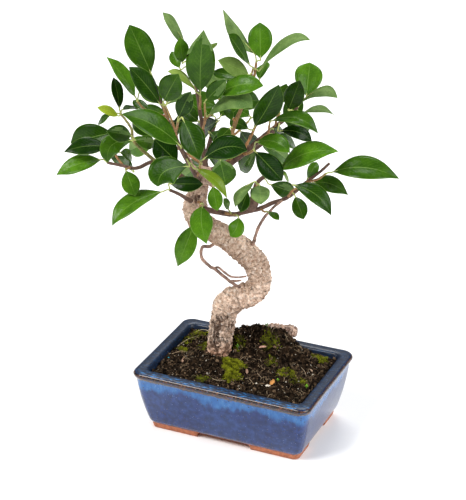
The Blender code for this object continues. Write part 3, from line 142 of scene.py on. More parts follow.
# Branches and twigs: name, what it grows from, and its points (across, up, near, radius).
STEMS = [
    ("branch_left", "trunk", [
        (-17, 140, -3, 2.6), (-28, 150, 1, 2.2), (-40, 160, 5, 1.9), (-51, 163, 8, 1.6), (-60, 159, 9, 1.4),
        (-66, 158, 10, 1.3), (-74.8, 160.3, 10, 1.2), (-85, 162.6, 10, 1)]),
    ("branch_left_up", "branch_left", [
        (-47, 162.6, 7, 1.4), (-52, 167, 8, 1.4), (-60, 174.5, 8, 1.25), (-65, 181.5, 8, 1.15),
        (-66, 190, 8, 1), (-70, 197, 6, 0.9), (-73.6, 202, 4, 0.8)]),
    ("branch_left_low", "trunk", [
        (-18, 129, -1, 1.8), (-24, 132, 8, 1.6), (-30, 136, 14, 1.4), (-38, 140, 18, 1.1)]),
    ("branch_right_low", "trunk", [
        (-16, 124, -1, 2.6), (-8, 123, 5, 2.4), (10, 119.5, 11, 1.9), (19, 121.5, 13, 1.8), (30, 124, 14, 1.7),
        (41, 129.3, 14, 1.6), (50, 132.6, 14, 1.4), (58, 138.5, 14, 1.3), (65, 145.5, 13, 1.2),
        (76, 154.5, 12, 1.1), (83.5, 162, 12, 1)]),
    ("branch_right_mid", "branch_right_low", [
        (24, 122.4, 13.5, 2.6), (25.5, 128, 12.5, 4.2), (27, 134, 11, 3.4), (28.5, 145, 9, 1.9),
        (34, 151, 8, 1.5), (42, 157.5, 7, 1.2)]),
    ("leader", "trunk", [(-10, 152, -4, 3.3), (4, 160, -5, 3.2), (15, 168, -6, 2.8), (24, 175.5, -7, 2.3)]),
    ("branch_right_far", "leader", [
        (21, 173.2, -6.6, 1.9), (30, 181, -8, 1.8), (40, 190, -9, 1.6), (54, 202, -10, 1.3),
        (58.5, 207.5, -10, 1)]),
    ("branch_top_right", "leader", [
        (8, 162.8, -5.2, 2), (9, 176, -2, 1.8), (9.8, 187, 0, 1.7), (12.5, 196, 1, 1.5), (16, 205, 2, 1.4),
        (21, 219, 3, 1.3), (26, 232, 4, 1.1), (27.5, 243, 4, 0.8)]),
    ("branch_top_mid", "trunk", [
        (-9.6, 156, -4, 2.2), (-12, 172, -6, 1.9), (-12.5, 190, -3, 1.6), (-14.5, 205, 0, 1.4),
        (-16, 216, 1, 1.2), (-18, 227, 1, 1.1), (-22.5, 240, -1, 1), (-23.3, 251, -3, 0.8)]),
    ("branch_top_left", "trunk", [
        (-14, 146, -4, 2.2), (-22, 160, -7, 1.9), (-30, 176, -5, 1.7), (-36.6, 191, -2, 1.5),
        (-40, 203, 0, 1.3), (-44, 212, 0, 1.2), (-48, 223, -1, 1), (-49.4, 231, -2, 0.8)]),
    ("branch_back", "trunk", [
        (-14, 144, -4, 2.6), (-13, 156, -22, 2.3), (-9, 170, -38, 2), (-6, 184, -52, 1.6),
        (-2, 197, -60, 1.2)]),
    ("branch_back_right", "leader", [
        (16, 168.9, -6, 2.1), (27, 174, -24, 1.8), (38, 184, -40, 1.5), (46, 196, -50, 1.1)]),
    ("branch_front", "trunk", [
        (-14.5, 146, -4, 2.2), (-18, 152, 12, 1.8), (-21, 158.5, 25, 1.5), (-26, 169, 34, 1.3),
        (-28.9, 175, 38, 1.1)]),
    ("twig_left_far", "branch_left", [
        (-73, 159.8, 10, 0.9), (-78, 168, 5, 0.9), (-80, 177, 0, 0.8), (-80, 184, -4, 0.7)]),
    ("twig_left_front", "branch_left_up", [(-64, 180, 8, 0.9), (-65, 182, 15, 0.8), (-65, 183.5, 20, 0.7)]),
    ("twig_left_mid", "branch_left", [(-30, 152, 2, 0.9), (-31, 156, 12, 0.9), (-32, 161, 20, 0.7)]),
    ("twig_left_down", "branch_left", [(-68, 158.3, 10, 0.8), (-70, 157.5, 16, 0.8), (-71, 157.2, 20, 0.7)]),
    ("twig_front_mid", "branch_front", [(-17.2, 150, 8, 1), (-15, 157, 20, 0.9), (-14.5, 163, 30, 0.8)]),
    ("twig_trunk_front", "trunk", [
        (-18, 130, -3, 1.1), (-15, 129.5, 12, 1), (-14.5, 128, 20, 0.9), (-17.5, 118, 19, 0.8)]),
    ("twig_trunk_right", "branch_right_low", [(4, 120.6, 9, 0.9), (9, 119.5, 17, 0.9), (13, 119, 22, 0.7)]),
    ("twig_trunk_top", "trunk", [
        (-14, 146, -4, 1.3), (-8, 146, 9, 1.1), (-4.5, 145.5, 16, 0.9), (3, 148, 19, 0.7)]),
    ("twig_left_top", "branch_top_left", [
        (-39, 200, -0.5, 0.9), (-48, 202.5, 2, 0.9), (-56, 206, 3, 0.8), (-61, 212, 2, 0.7)]),
    ("twig_left_top_front", "branch_top_left", [(-38, 196, -1, 1), (-40.5, 204, 9, 0.9), (-42, 209, 14, 0.8)]),
    ("twig_left_inner", "branch_top_left", [
        (-33.5, 184, -3.5, 0.9), (-31.5, 192, 9, 0.9), (-31, 196, 17, 0.8)]),
    ("twig_mid_front", "branch_top_mid", [(-14.3, 204, 0, 1), (-14, 212, 8, 0.9), (-14.2, 217, 12, 0.8)]),
    ("twig_mid_right", "branch_top_mid", [
        (-12.6, 188, -3, 1), (-10.5, 197, 8, 0.9), (-10.6, 205, 13, 0.8), (-10.8, 211, 16, 0.7)]),
    ("twig_top_right", "branch_top_right", [(24.4, 228, 3.7, 0.9), (24.3, 234, 9, 0.8), (25.5, 238, 12, 0.7)]),
    ("twig_right_inner", "branch_top_right", [
        (12.3, 195, 1, 0.9), (7, 204, 8, 0.9), (2, 211, 12, 0.8), (-2, 216, 14, 0.7)]),
    ("twig_right_up", "leader", [
        (14, 167.2, -6, 1.3), (20, 176, 3, 1.2), (25.5, 188, 8, 1), (30.5, 200, 8, 0.8)]),
    ("twig_far_up", "branch_right_far", [(42, 191.8, -9.2, 0.9), (43, 198, -4, 0.9), (45.5, 203, -2, 0.7)]),
    ("twig_far_low", "branch_right_far", [
        (31, 182, -8, 0.9), (36.5, 186, 4, 0.9), (37.5, 192, 9, 0.8), (38, 196, 11, 0.7)]),
    ("twig_right_drop", "leader", [(17, 169.6, -6.2, 1.1), (21.5, 169.8, 6, 1), (26, 173, 14, 0.8)]),
    ("twig_leader_low", "leader", [(6, 161.4, -5.1, 1), (7, 167, 4, 0.9), (9, 168.7, 10, 0.8)]),
    ("twig_right_leaf", "branch_right_mid", [(36, 152.8, 7.8, 1), (39, 151, 14, 0.9), (42, 153, 20, 0.8)]),
    ("twig_right_low", "branch_right_low", [(52, 134, 14, 0.9), (56, 139.5, 20, 0.9), (62, 143.6, 24, 0.7)]),
    ("twig_right_tip", "branch_right_low", [(66, 146.3, 12.9, 0.9), (75, 149, 18, 0.8), (81, 153.6, 20, 0.7)]),
    ("twig_lump", "branch_right_mid", [(28.2, 142, 9.4, 1), (28.5, 143.5, 16, 0.9), (28.5, 145.5, 22, 0.8)]),
    ("twig_right_hang", "branch_right_low", [(31, 124.4, 14, 0.8), (34, 122, 18, 0.7), (36, 121.8, 20, 0.6)]),
    ("twig_back_left", "branch_back", [(-11, 163, -30, 1.1), (-28, 172, -38, 1), (-46, 183, -42, 0.8)]),
    ("twig_back_mid", "branch_back", [(-8, 175, -43, 1), (10, 184, -52, 0.9), (22, 196, -56, 0.8)]),
    ("twig_back_top", "branch_top_mid", [(-13, 194, -2.2, 1), (-4, 204, -18, 0.9), (6, 216, -28, 0.8)]),
    ("twig_back_up_left", "branch_top_left", [(-31, 178, -4.7, 1), (-34, 192, -18, 0.9), (-40, 208, -28, 0.8)]),
]


def leaf(stem, base, tip, seen, near, via=None, under=False, away=False, wide=None):
    """A leaf: its blade from base to tip on the drawing, its drawn width, and how near its two ends stand."""
    return dict(stem=stem, base=base, tip=tip, seen=seen, near=near, via=via, under=under, away=away, wide=wide)


LEAVES = [
    # far left
    leaf("branch_left", (-90, 165), (-124, 152.6), 12.5, (11, 16), via=(-108, 161)),
    leaf("twig_left_far", (-85, 175.5), (-117.3, 171.5), 12.5, (6, 14), via=(-101, 176)),
    leaf("twig_left_far", (-80.5, 187), (-112, 179), 18, (-5, -14)),
    leaf("branch_left_up", (-81, 201.5), (-91, 194), 5, (2, -6), wide=7),
    leaf("branch_left_up", (-75.5, 200.6), (-91, 207.3), 6.5, (6, 12), wide=7.5),
    leaf("branch_left_up", (-72, 205.5), (-60, 207.5), 4.5, (0, -12), wide=9),
    leaf("twig_left_front", (-66.5, 184.5), (-85, 188.5), 12, (22, 42)),
    leaf("twig_left_front", (-65.5, 180.5), (-84.5, 162.8), 14, (20, 30), via=(-81, 177)),
    leaf("twig_left_front", (-63.5, 181), (-49, 178), 10, (18, 2)),
    leaf("twig_left_far", (-75, 171), (-66, 166.5), 8, (4, -14)),
    leaf("twig_left_down", (-71, 156), (-64.4, 135.5), 11.7, (22, 30), away=True),
    leaf("branch_left", (-66, 156), (-81, 168.5), 8, (4, -18)),
    # left of the middle
    leaf("branch_front", (-30.5, 177.5), (-73, 202.3), 17, (41, 52), via=(-50, 193.5)),
    leaf("twig_left_mid", (-32, 163), (-49, 181.5), 17.5, (21, 14)),
    leaf("branch_front", (-24.5, 159.5), (-47, 143), 19, (33, 46), via=(-41.5, 155.5)),
    leaf("branch_left_low", (-37, 145), (-12.5, 145), 11, (21, 26)),
    leaf("branch_left_low", (-44.5, 138.5), (-83, 110), 14, (22, 44), via=(-68, 128)),
    leaf("twig_trunk_front", (-13, 126.5), (-10, 94.5), 16, (24, 36), via=(-14, 112)),
    leaf("twig_trunk_front", (-19.5, 111), (-33, 75), 15, (18, 24)),
    leaf("twig_trunk_top", (-5, 143), (-1.6, 122.8), 10.5, (20, 30), away=True),
    leaf("branch_front", (-18, 157.5), (5.8, 133), 7.5, (31, 44), via=(-3.5, 148.5), wide=9),
    leaf("twig_leader_low", (0.5, 165.5), (5, 144), 18, (12, 4)),
    leaf("twig_front_mid", (-11.5, 166), (21, 172.5), 16.5, (33, 46), via=(5, 175.5)),
    leaf("twig_left_inner", (-27, 197.5), (-15, 165), 19, (24, 34)),
    # top left
    leaf("branch_top_left", (-50.5, 234.5), (-65.3, 271.7), 16.5, (-2, -8)),
    leaf("twig_left_top", (-62.5, 216), (-83, 247), 10, (3, 8)),
    leaf("twig_left_top", (-60, 223), (-69, 239), 4, (4, -10), under=True, wide=9),
    leaf("twig_left_top_front", (-44.5, 210.5), (-66.6, 239.3), 14, (16, 26)),
    leaf("branch_left_up", (-74.5, 206.5), (-78.2, 231), 8, (4, -8)),
    leaf("twig_left_top", (-53, 204), (-64, 213), 7, (0, -16)),
    leaf("branch_top_mid", (-24.5, 255), (-41, 281.2), 7.7, (-4, -2), via=(-33.5, 272), under=True, wide=12),
    leaf("branch_top_mid", (-27, 243), (-28.8, 262), 9.5, (0, 10)),
    leaf("branch_top_mid", (-29, 238.5), (-35, 251), 8, (-4, -14)),
    leaf("twig_mid_front", (-14, 220), (-11, 268), 20, (13, 18), via=(-13.5, 244)),
    leaf("branch_top_mid", (-15, 244), (-1, 258), 6, (-8, -24), wide=11),
    leaf("twig_mid_front", (-18, 221), (-38, 236), 6.5, (13, 22), via=(-26, 232), under=True, wide=12),
    leaf("twig_left_top_front", (-41, 213), (-30, 234), 15, (17, 26), away=True),
    leaf("twig_left_inner", (-30.5, 199.5), (-21, 220), 12, (18, 24)),
    leaf("twig_left_top_front", (-38.5, 210), (-29, 220), 5, (15, 2), under=True, wide=10),
    leaf("branch_top_mid", (-15.5, 196), (-28, 207), 11, (-6, -16)),
    # middle
    leaf("twig_mid_right", (-9.5, 213.5), (5.6, 229.5), 11.5, (17, 30)),
    leaf("branch_top_right", (16, 230), (-5, 235), 9, (-4, -18)),
    leaf("branch_top_right", (25.5, 250), (2.8, 283.8), 9.5, (4, 10), under=True, wide=14),
    leaf("branch_top_right", (30.5, 246), (30, 273.5), 16, (7, -4)),
    leaf("twig_top_right", (23, 240.5), (7, 264.5), 9, (14, 24), via=(13.5, 255)),
    leaf("twig_top_right", (30, 237), (67, 260), 8, (14, 24), via=(50, 258.5), wide=14),
    leaf("branch_top_right", (30, 229.5), (35.5, 243), 7.5, (-2, -14), wide=10),
    leaf("twig_top_right", (22, 233), (-0.8, 244.5), 12, (12, 26)),
    leaf("twig_right_inner", (-1, 217.3), (33, 224.5), 13.5, (16, 34), via=(15, 225)),
    leaf("twig_mid_right", (-8.5, 200.5), (25, 207), 13.5, (16, 36), via=(10, 213.5)),
    leaf("twig_right_inner", (1.5, 209.5), (9, 197), 6, (14, 26), wide=9),
    leaf("twig_right_up", (27, 192.5), (44.5, 225.5), 15, (12, 24), away=True),
    leaf("twig_right_up", (22, 190), (8, 197), 9, (4, -10)),
    leaf("branch_top_right", (8, 190.5), (-1, 181), 9.5, (4, 22)),
    leaf("branch_top_mid", (-10.5, 186), (2, 195), 9, (-10, -26)),
    # right
    leaf("twig_far_up", (44, 206), (50, 226), 9, (-4, -16), wide=13),
    leaf("branch_right_far", (52, 206), (60, 229), 14, (-4, 10)),
    leaf("branch_right_far", (65, 216.5), (67, 242.5), 18, (-12, -34)),
    leaf("branch_right_far", (61, 211), (88.3, 214.8), 8, (-8, 6), via=(76, 221), under=True, wide=13),
    leaf("branch_right_far", (63, 203), (86.5, 200.2), 6, (-14, -24), via=(77, 205.5), wide=11),
    leaf("twig_far_low", (40, 196.8), (74.4, 186.5), 11, (14, 30), via=(59, 198.5)),
    leaf("twig_far_low", (40.5, 190), (48, 186), 7, (2, -16)),
    leaf("branch_right_far", (46, 188.5), (69.8, 180), 9.5, (-2, 14), via=(59, 187.5)),
    leaf("twig_right_drop", (28.5, 179.5), (53.4, 171), 12, (18, 38), via=(42, 179.5)),
    leaf("twig_far_low", (44, 184.5), (57.6, 175.5), 8, (2, -14)),
    leaf("twig_right_drop", (27.5, 171.5), (48, 148), 16, (18, 22)),
    leaf("twig_leader_low", (12, 167), (27, 148), 14, (12, 22)),
    leaf("branch_right_far", (31, 178), (43, 174), 7, (-12, -30)),
    leaf("twig_right_leaf", (45.8, 156.5), (90, 172), 15.5, (24, 38), via=(65, 170)),
    leaf("twig_right_tip", (86.6, 155.2), (137, 149.5), 16.5, (22, 34), via=(111, 158.5)),
    leaf("branch_right_low", (67, 149.5), (74, 163), 8, (8, -12)),
    leaf("twig_right_tip", (71.5, 146), (98.4, 136), 11.5, (18, 12), via=(85, 145)),
    leaf("twig_right_low", (57, 144), (85.9, 118.7), 13, (27, 42), via=(74.5, 135.5)),
    leaf("twig_right_low", (58, 134.5), (64.8, 115.5), 11, (20, 30), away=True),
    leaf("branch_right_mid", (39, 144.5), (58, 137), 12, (2, -10)),
    leaf("twig_lump", (30.5, 144), (31.7, 128), 14, (24, 46)),
    leaf("twig_lump", (26.5, 146.5), (12, 126), 7, (25, 40), via=(16.5, 138.5), under=True, wide=13),
    leaf("branch_right_mid", (21.5, 139), (16, 121.5), 9, (16, 22)),
    leaf("twig_right_leaf", (47, 156), (53, 146), 3, (20, 22), wide=7),
    leaf("twig_right_hang", (37.5, 121.5), (46, 115), 5, (21, 26), wide=7),
    leaf("twig_trunk_right", (14.5, 117), (8, 101), 10.5, (24, 34), via=(13, 108)),
    leaf("twig_trunk_top", (6, 149.5), (12.5, 154), 5, (21, 28), wide=6.5),
    leaf("twig_trunk_top", (3, 150.5), (0, 156), 4.5, (20, 26), wide=6),
    leaf("twig_trunk_right", (7, 124), (3, 133), 5, (18, 22), wide=6.5),
    # hidden side
    leaf("branch_back", (-4, 200), (-24, 216), 15, (-62, -74)),
    leaf("branch_back", (1, 200), (14, 222), 16, (-62, -72)),
    leaf("branch_back", (-1, 196), (-18, 182), 15, (-66, -88)),
    leaf("branch_back", (-7, 187), (8, 168), 16, (-60, -86)),
    leaf("branch_back", (-15, 160), (-30, 148), 15, (-30, -52)),
    leaf("branch_back", (-10, 170), (6, 158), 14, (-44, -64)),
    leaf("twig_back_left", (-49, 185), (-64, 200), 15, (-43, -52)),
    leaf("twig_back_left", (-49, 181), (-68, 172), 15, (-44, -62)),
    leaf("twig_back_left", (-40, 180), (-34, 197), 14, (-46, -62)),
    leaf("twig_back_left", (-33, 172), (-46, 156), 15, (-40, -60)),
    leaf("twig_back_left", (-22, 171), (-14, 156), 13, (-42, -68)),
    leaf("twig_back_mid", (25, 199), (44, 210), 15, (-57, -66)),
    leaf("twig_back_mid", (23, 200), (10, 208), 14, (-60, -82)),
    leaf("twig_back_mid", (16, 188), (26, 172), 15, (-56, -80)),
    leaf("twig_back_mid", (8, 186), (-4, 174), 13, (-50, -30)),
    leaf("branch_back_right", (48, 199), (62, 214), 14, (-52, -56)),
    leaf("branch_back_right", (49, 196), (68, 190), 15, (-52, -70)),
    leaf("branch_back_right", (44, 190), (38, 170), 15, (-48, -70)),
    leaf("branch_back_right", (34, 178), (52, 164), 14, (-38, -58)),
    leaf("branch_back_right", (28, 174), (16, 156), 14, (-28, -50)),
    leaf("twig_back_top", (8, 219), (18, 240), 14, (-29, -36)),
    leaf("twig_back_top", (5, 219), (-12, 236), 14, (-30, -42)),
    leaf("twig_back_top", (8, 214), (30, 212), 14, (-30, -48)),
    leaf("twig_back_top", (-2, 208), (-20, 216), 13, (-24, -44)),
    leaf("twig_back_up_left", (-42, 211), (-58, 226), 14, (-29, -40)),
    leaf("twig_back_up_left", (-39, 211), (-34, 231), 13, (-30, -44)),
    leaf("twig_back_up_left", (-40, 204), (-60, 200), 14, (-28, -46)),
    leaf("twig_back_up_left", (-35, 195), (-20, 196), 13, (-24, -46)),
]


# ---- modelling helpers ----
def tone_layer(bm):
    return bm.verts.layers.float_color.get("tone") or bm.verts.layers.float_color.new("tone")


def sheet(bm, across, along, shape, closed=False, tag=0, tone=None):
    """A grid of cells moved onto shape(u, v); closed welds its two long edges into a tube.  Returns the faces."""
    uv_layer = bm.loops.layers.uv.get("surface") or bm.loops.layers.uv.new("surface")
    layer = tone_layer(bm)
    verts = bmesh.ops.create_grid(bm, x_segments=across, y_segments=along, size=0.5)["verts"]
    where = {vert: tuple(min(1.0, max(0.0, side + 0.5)) for side in vert.co.xy) for vert in verts}
    faces = list({face for vert in verts for face in vert.link_faces})
    for face in faces:
        face.material_index = tag
        face.smooth = True
        for loop in face.loops:
            loop[uv_layer].uv = where[loop.vert]
    for vert in verts:
        if tone is not None:
            vert[layer] = tone if isinstance(tone, tuple) else tone(*where[vert])
        vert.co = shape(*where[vert])
    if closed:
        seam = [v for v in verts if where[v][0] in (0.0, 1.0)]
        bmesh.ops.remove_doubles(bm, verts=seam, dist=1e-7)
        faces = [f for f in faces if f.is_valid]
    return faces


def close_ends(bm):
    bmesh.ops.holes_fill(bm, edges=[e for e in bm.edges if e.is_boundary], sides=0)


def new_object(name, bm):
    mesh = bpy.data.meshes.new(name)
    bm.to_mesh(mesh)
    bm.free()
    made = bpy.data.objects.new(name, mesh)
    bpy.context.scene.collection.objects.link(made)
    return made


def finish_piece(name, bm, looks, stands_for=(), turn_out=True):
    """The mesh as a piece of the frame, with the named finishes, in place of the nodes it stands for."""
    if turn_out:
        bmesh.ops.recalc_face_normals(bm, faces=bm.faces)
    piece = new_object(name, bm)
    for look in looks:
        piece.data.materials.append(finishes()[look])
    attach(piece, "root")
    if stands_for:
        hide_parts(*stands_for)
    return piece


def smooth_path(points, step=2):
    """Curve through the points; every point is (x, y, z, radius)."""
    pts = [Vector(p) for p in points]
    pts = [2 * pts[0] - pts[1]] + pts + [2 * pts[-1] - pts[-2]]
    made = []
    for i in range(1, len(pts) - 2):
        p0, p1, p2, p3 = pts[i - 1:i + 3]
        for s in range(step):
            t = s / step
            made.append(0.5 * (2 * p1 + (p2 - p0) * t + (2 * p0 - 5 * p1 + 4 * p2 - p3) * t ** 2
                               + (3 * p1 - p0 - 3 * p2 + p3) * t ** 3))
    made.append(pts[-2])
    return made


def nearest_on(path, point):
    """The point of a path that is nearest to a point."""
    best = None
    for a, b in zip(path[:-1], path[1:]):
        a, b = Vector(a[:3]), Vector(b[:3])
        share = (point - a).dot(b - a) / max((b - a).length_squared, 1e-12)
        here = a.lerp(b, max(0.0, min(1.0, share)))
        if best is None or (here - point).length < (best - point).length:
            best = here
    return best


def wood_points(points, start=None):
    """Drawn points in the frame; the first is moved onto the path start."""
    pts = [Vector((*spot(across, up, near), radius * MM)) for across, up, near, radius in points]
    if start:
        pts[0] = Vector((*nearest_on(start, Vector(pts[0][:3])), pts[0][3]))
    return pts


def frames_along(path):
    """Centre, radius and two cross directions at every point of a path, with no twist between them."""
    centres = [Vector(p[:3]) for p in path]
    last = len(path) - 1
    tangents = [(centres[min(i + 1, last)] - centres[max(i - 1, 0)]).normalized() for i in range(last + 1)]
    side = tangents[0].orthogonal().normalized()
    made = []
    for centre, tangent, p in zip(centres, tangents, path):
        side = (side - tangent * side.dot(tangent)).normalized()
        made.append((centre, p[3], side.copy(), tangent.cross(side), tangent))
    return made


def around(ring, turn):
    """Direction out of a ring of frames_along at a turn."""
    return ring[2] * math.cos(turn) + ring[3] * math.sin(turn)


def rod(bm, path, sides, relief=None, tag=0, tone=None, dome=0.35, cap_tag=None):
    """Round skin along a path of (x, y, z, radius).  relief(point, share) adds to the radius."""
    rings = frames_along(path)
    last = len(rings) - 1

    def shape(u, v):
        place = v * last
        i = min(int(place), last - 1)
        t = place - i
        (c0, r0, s0, w0, _), (c1, r1, s1, w1, _) = rings[i], rings[i + 1]
        centre, radius = c0.lerp(c1, t), r0 + (r1 - r0) * t
        side, up = s0.lerp(s1, t).normalized(), w0.lerp(w1, t).normalized()
        turn = FULL_TURN * u
        out = side * math.cos(turn) + up * math.sin(turn)
        if relief:
            radius += relief(centre + out * radius, v)
        return centre + out * radius

    faces = sheet(bm, sides, last, shape, closed=True, tag=tag, tone=tone)
    for ring, sign in ((rings[0], -1), (rings[last], 1)):
        round_end(bm, faces, ring, sign, dome, tag if cap_tag is None or sign < 0 else cap_tag)
    skin, queue = set(), [f for f in faces if f.is_valid][:1]
    while queue:
        f = queue.pop()
        if f not in skin:
            skin.add(f)
            queue += [other for e in f.edges for other in e.link_faces if other not in skin]
    bmesh.ops.recalc_face_normals(bm, faces=list(skin))


def round_end(bm, faces, ring, sign, dome, tag):
    """Draws the open edge of a rod in to a low dome, in two steps."""
    centre, radius, _, _, tangent = ring

    def at_end(v):
        away = v.co - centre
        return away.length < radius * 2.5 + 1e-5 and abs(away.dot(tangent)) < radius * 0.9

    rim = [e for f in faces for e in f.edges if e.is_boundary and all(at_end(v) for v in e.verts)]
    rim = list(dict.fromkeys(rim))
    if not rim:
        return
    first = bmesh.ops.extrude_edge_only(bm, edges=rim)["geom"]
    shoulder = [g for g in first if isinstance(g, bmesh.types.BMVert)]
    for v in shoulder:
        v.co = centre + (v.co - centre) * 0.72 + tangent * sign * radius * dome * 0.75
    edges = [g for g in first if isinstance(g, bmesh.types.BMEdge) and all(v in shoulder for v in g.verts)]
    second = bmesh.ops.extrude_edge_only(bm, edges=edges)["geom"]
    tip = [g for g in second if isinstance(g, bmesh.types.BMVert)]
    for v in tip:
        v.co = centre + tangent * sign * radius * dome
    for g in first + second:
        if isinstance(g, bmesh.types.BMFace):
            g.smooth = True
            g.material_index = tag
    bmesh.ops.remove_doubles(bm, verts=tip, dist=1e-7)


class Heap:
    """Many small shapes in one mesh, made a few at a time, because an operator is slow on a long mesh."""
    BATCH = 260

    def __init__(self):
        self.whole, self.part = bmesh.new(), bmesh.new()

    def room(self):
        if len(self.part.verts) > self.BATCH:
            self.pour()
        return self.part

    def pour(self):
        batch = bpy.data.meshes.new("batch")
        self.part.to_mesh(batch)
        self.whole.from_mesh(batch)
        bpy.data.meshes.remove(batch)
        self.part.free()
        self.part = bmesh.new()

    def all(self):
        self.pour()
        return self.whole


def soft_noise(point, size, seed=0.0):
    """Smooth noise between -1 and 1, in lumps of about this size."""
    return noise.noise(point / size + Vector((seed, seed * 1.7, seed * 0.6)))


# ---- coarse shapes that the leaves are placed against ----
CLEAR = 0.45 * MM       # kept between a leaf and all the rest
NEARER = (0, 4, -4, 8, -8, 13, -13, 19, -19, 26, -26, 34, -34)
TWISTS = (0, 0.35, -0.35, 0.8, -0.8)
STEM_SHIFTS = (0, 4, -4, 8, -8, 12, -12)


def coarse_rings(path, sides, grow=0.0, knobs=0.0):
    rings = []
    for i, (centre, radius, side, up, _) in enumerate(frames_along(path)):
        ring = []
        for j in range(sides):
            turn = FULL_TURN * j / sides
            wave = 1 + knobs * (math.sin(2 * turn + 0.9 * i) * 0.6 + math.sin(3 * turn - 1.7 * i) * 0.4)
            ring.append(centre + (side * math.cos(turn) + up * math.sin(turn)) * (radius * wave + grow))
        rings.append(ring)
    return rings


def ring_tree(rings, tip=False):
    """Collision tree of a skin over rings of equal length."""
    n = len(rings[0])
    verts = [tuple(p) for ring in rings for p in ring]
    whole = len(rings) - 2 if tip else len(rings) - 1
    faces = [(i * n + j, i * n + (j + 1) % n, (i + 1) * n + (j + 1) % n, (i + 1) * n + j)
             for i in range(whole) for j in range(n)]
    faces.append(tuple(range(n)))
    if tip:
        faces += [(whole * n + j, whole * n + (j + 1) % n, len(verts) - 1) for j in range(n)]
    else:
        faces.append(tuple(whole * n + j for j in range(n)))
    return BVHTree.FromPolygons(verts, faces)


def leaf_lines(item, base, tip, via, more_turn):
    """Width, upper-side direction and centre line of a blade."""
    along = tip - base
    seen = item["seen"] * MM
    width = item["wide"] * MM if item["wide"] else max(seen, LEAF_RATIO * along.length)
    tangent = along.normalized()
    face = (EYE - tangent * EYE.dot(tangent)).normalized()
    angle = math.acos(min(1.0, seen / width))
    swings = [Quaternion(tangent, s * angle) @ face for s in (1, -1)]
    swings.sort(key=lambda v: v.dot(UP), reverse=not item["away"])
    face = Quaternion(tangent, more_turn) @ swings[0]
    if item["under"]:
        face = -face
    bend = via - (base + tip) / 2 if via else face * 0.05 * along.length
    control = (base + tip) / 2 + bend * 2
    return width, face, lambda t: base * (1 - t) ** 2 + control * 2 * t * (1 - t) + tip * t ** 2


# Outline of a coarse blade: share of its length, share of its width.
BLADE = [(0.10, 0.36), (0.30, 0.84), (0.52, 1.0), (0.76, 0.76), (0.92, 0.34)]


def petiole_bend(at, start, base, tip):
    """Where a leaf's stalk swells out of the blade, and the middle of the stalk."""
    control = (at(0.5) - (base + tip) / 4) * 2
    reach = (base - start).length
    swell = base - (control - base).normalized() * min(reach * 0.3, 2 * MM)
    return swell, start.lerp(swell, 0.55) + UP * min(reach * 0.06, 1.2 * MM)


def across_blade(face, tangent):
    """Upper-side and sideways directions of a blade, square to its tangent."""
    n = (face - tangent * face.dot(tangent)).normalized()
    return n, tangent.cross(n)


def coarse_leaf(item, start, base, tip, via, grow=0.0, more_turn=0.0):
    """Rings of four points round a leaf's stalk and blade, and its tip."""
    width, face, at = leaf_lines(item, base, tip, via, more_turn)
    thick = PETIOLE + grow
    swell, middle = petiole_bend(at, start, base, tip)
    rings = []
    for here, ahead, r in ((start, middle, thick * 0.9), (middle, swell, thick * 0.9), (base, at(0.1), thick)):
        n, s = across_blade(face, (ahead - here).normalized())
        rings.append([here - s * r, here + n * r, here + s * r, here - n * r])
    for t, share in BLADE:
        n, s = across_blade(face, (at(min(t + 0.05, 1)) - at(t)).normalized())
        half = width / 2 * share + grow
        rise = n * half * math.sin(LEAF_FOLD)
        half *= math.cos(LEAF_FOLD)
        h = LEAF_HALF * (1.25 - 0.5 * t) + grow
        rings.append([at(t) - s * half + rise, at(t) + n * h, at(t) + s * half + rise, at(t) - n * h])
    rings.append([tip + (tip - base).normalized() * grow])
    return rings


def place_leaf(item, path, taken, own):
    """Start, base, tip, via and turn of a leaf, its ends moved nearer or farther until it clears the rest."""
    near0, near1 = item["near"]
    tries = sorted(((abs(m1) + 1.6 * abs(m0) + abs(w) * 12, m0, m1, w)
                    for m0 in NEARER[:7] for m1 in NEARER for w in TWISTS), key=lambda t: t[0])
    mine, others = [tree for name, tree in taken if name == own], [tree for name, tree in taken if name != own]
    strangers = [tree for name, tree in taken if name not in (own, own + " leaf")]
    for _, m0, m1, w in tries:
        base, tip = spot(*item["base"], near0 + m0), spot(*item["tip"], near1 + m1)
        via = spot(*item["via"], (near0 + near1 + m0 + m1) / 2 + 2) if item["via"] else None
        start = nearest_on(path[len(path) // 3:], base) + item["apart"]
        rings = coarse_leaf(item, start, base, tip, via, grow=CLEAR, more_turn=w)
        test, blade = ring_tree(rings[1:], tip=True), ring_tree(rings[2:], tip=True)
        if any(test.overlap(tree) for tree in others) or any(blade.overlap(tree) for tree in mine):
            continue
        rings = coarse_leaf(item, start, base, tip, via, more_turn=w)
        root = ring_tree(rings[:3])
        if any(root.overlap(tree) for tree in strangers):
            continue
        taken.append((own + " leaf", ring_tree(rings, tip=True)))
        return start, base, tip, via, w
    return None


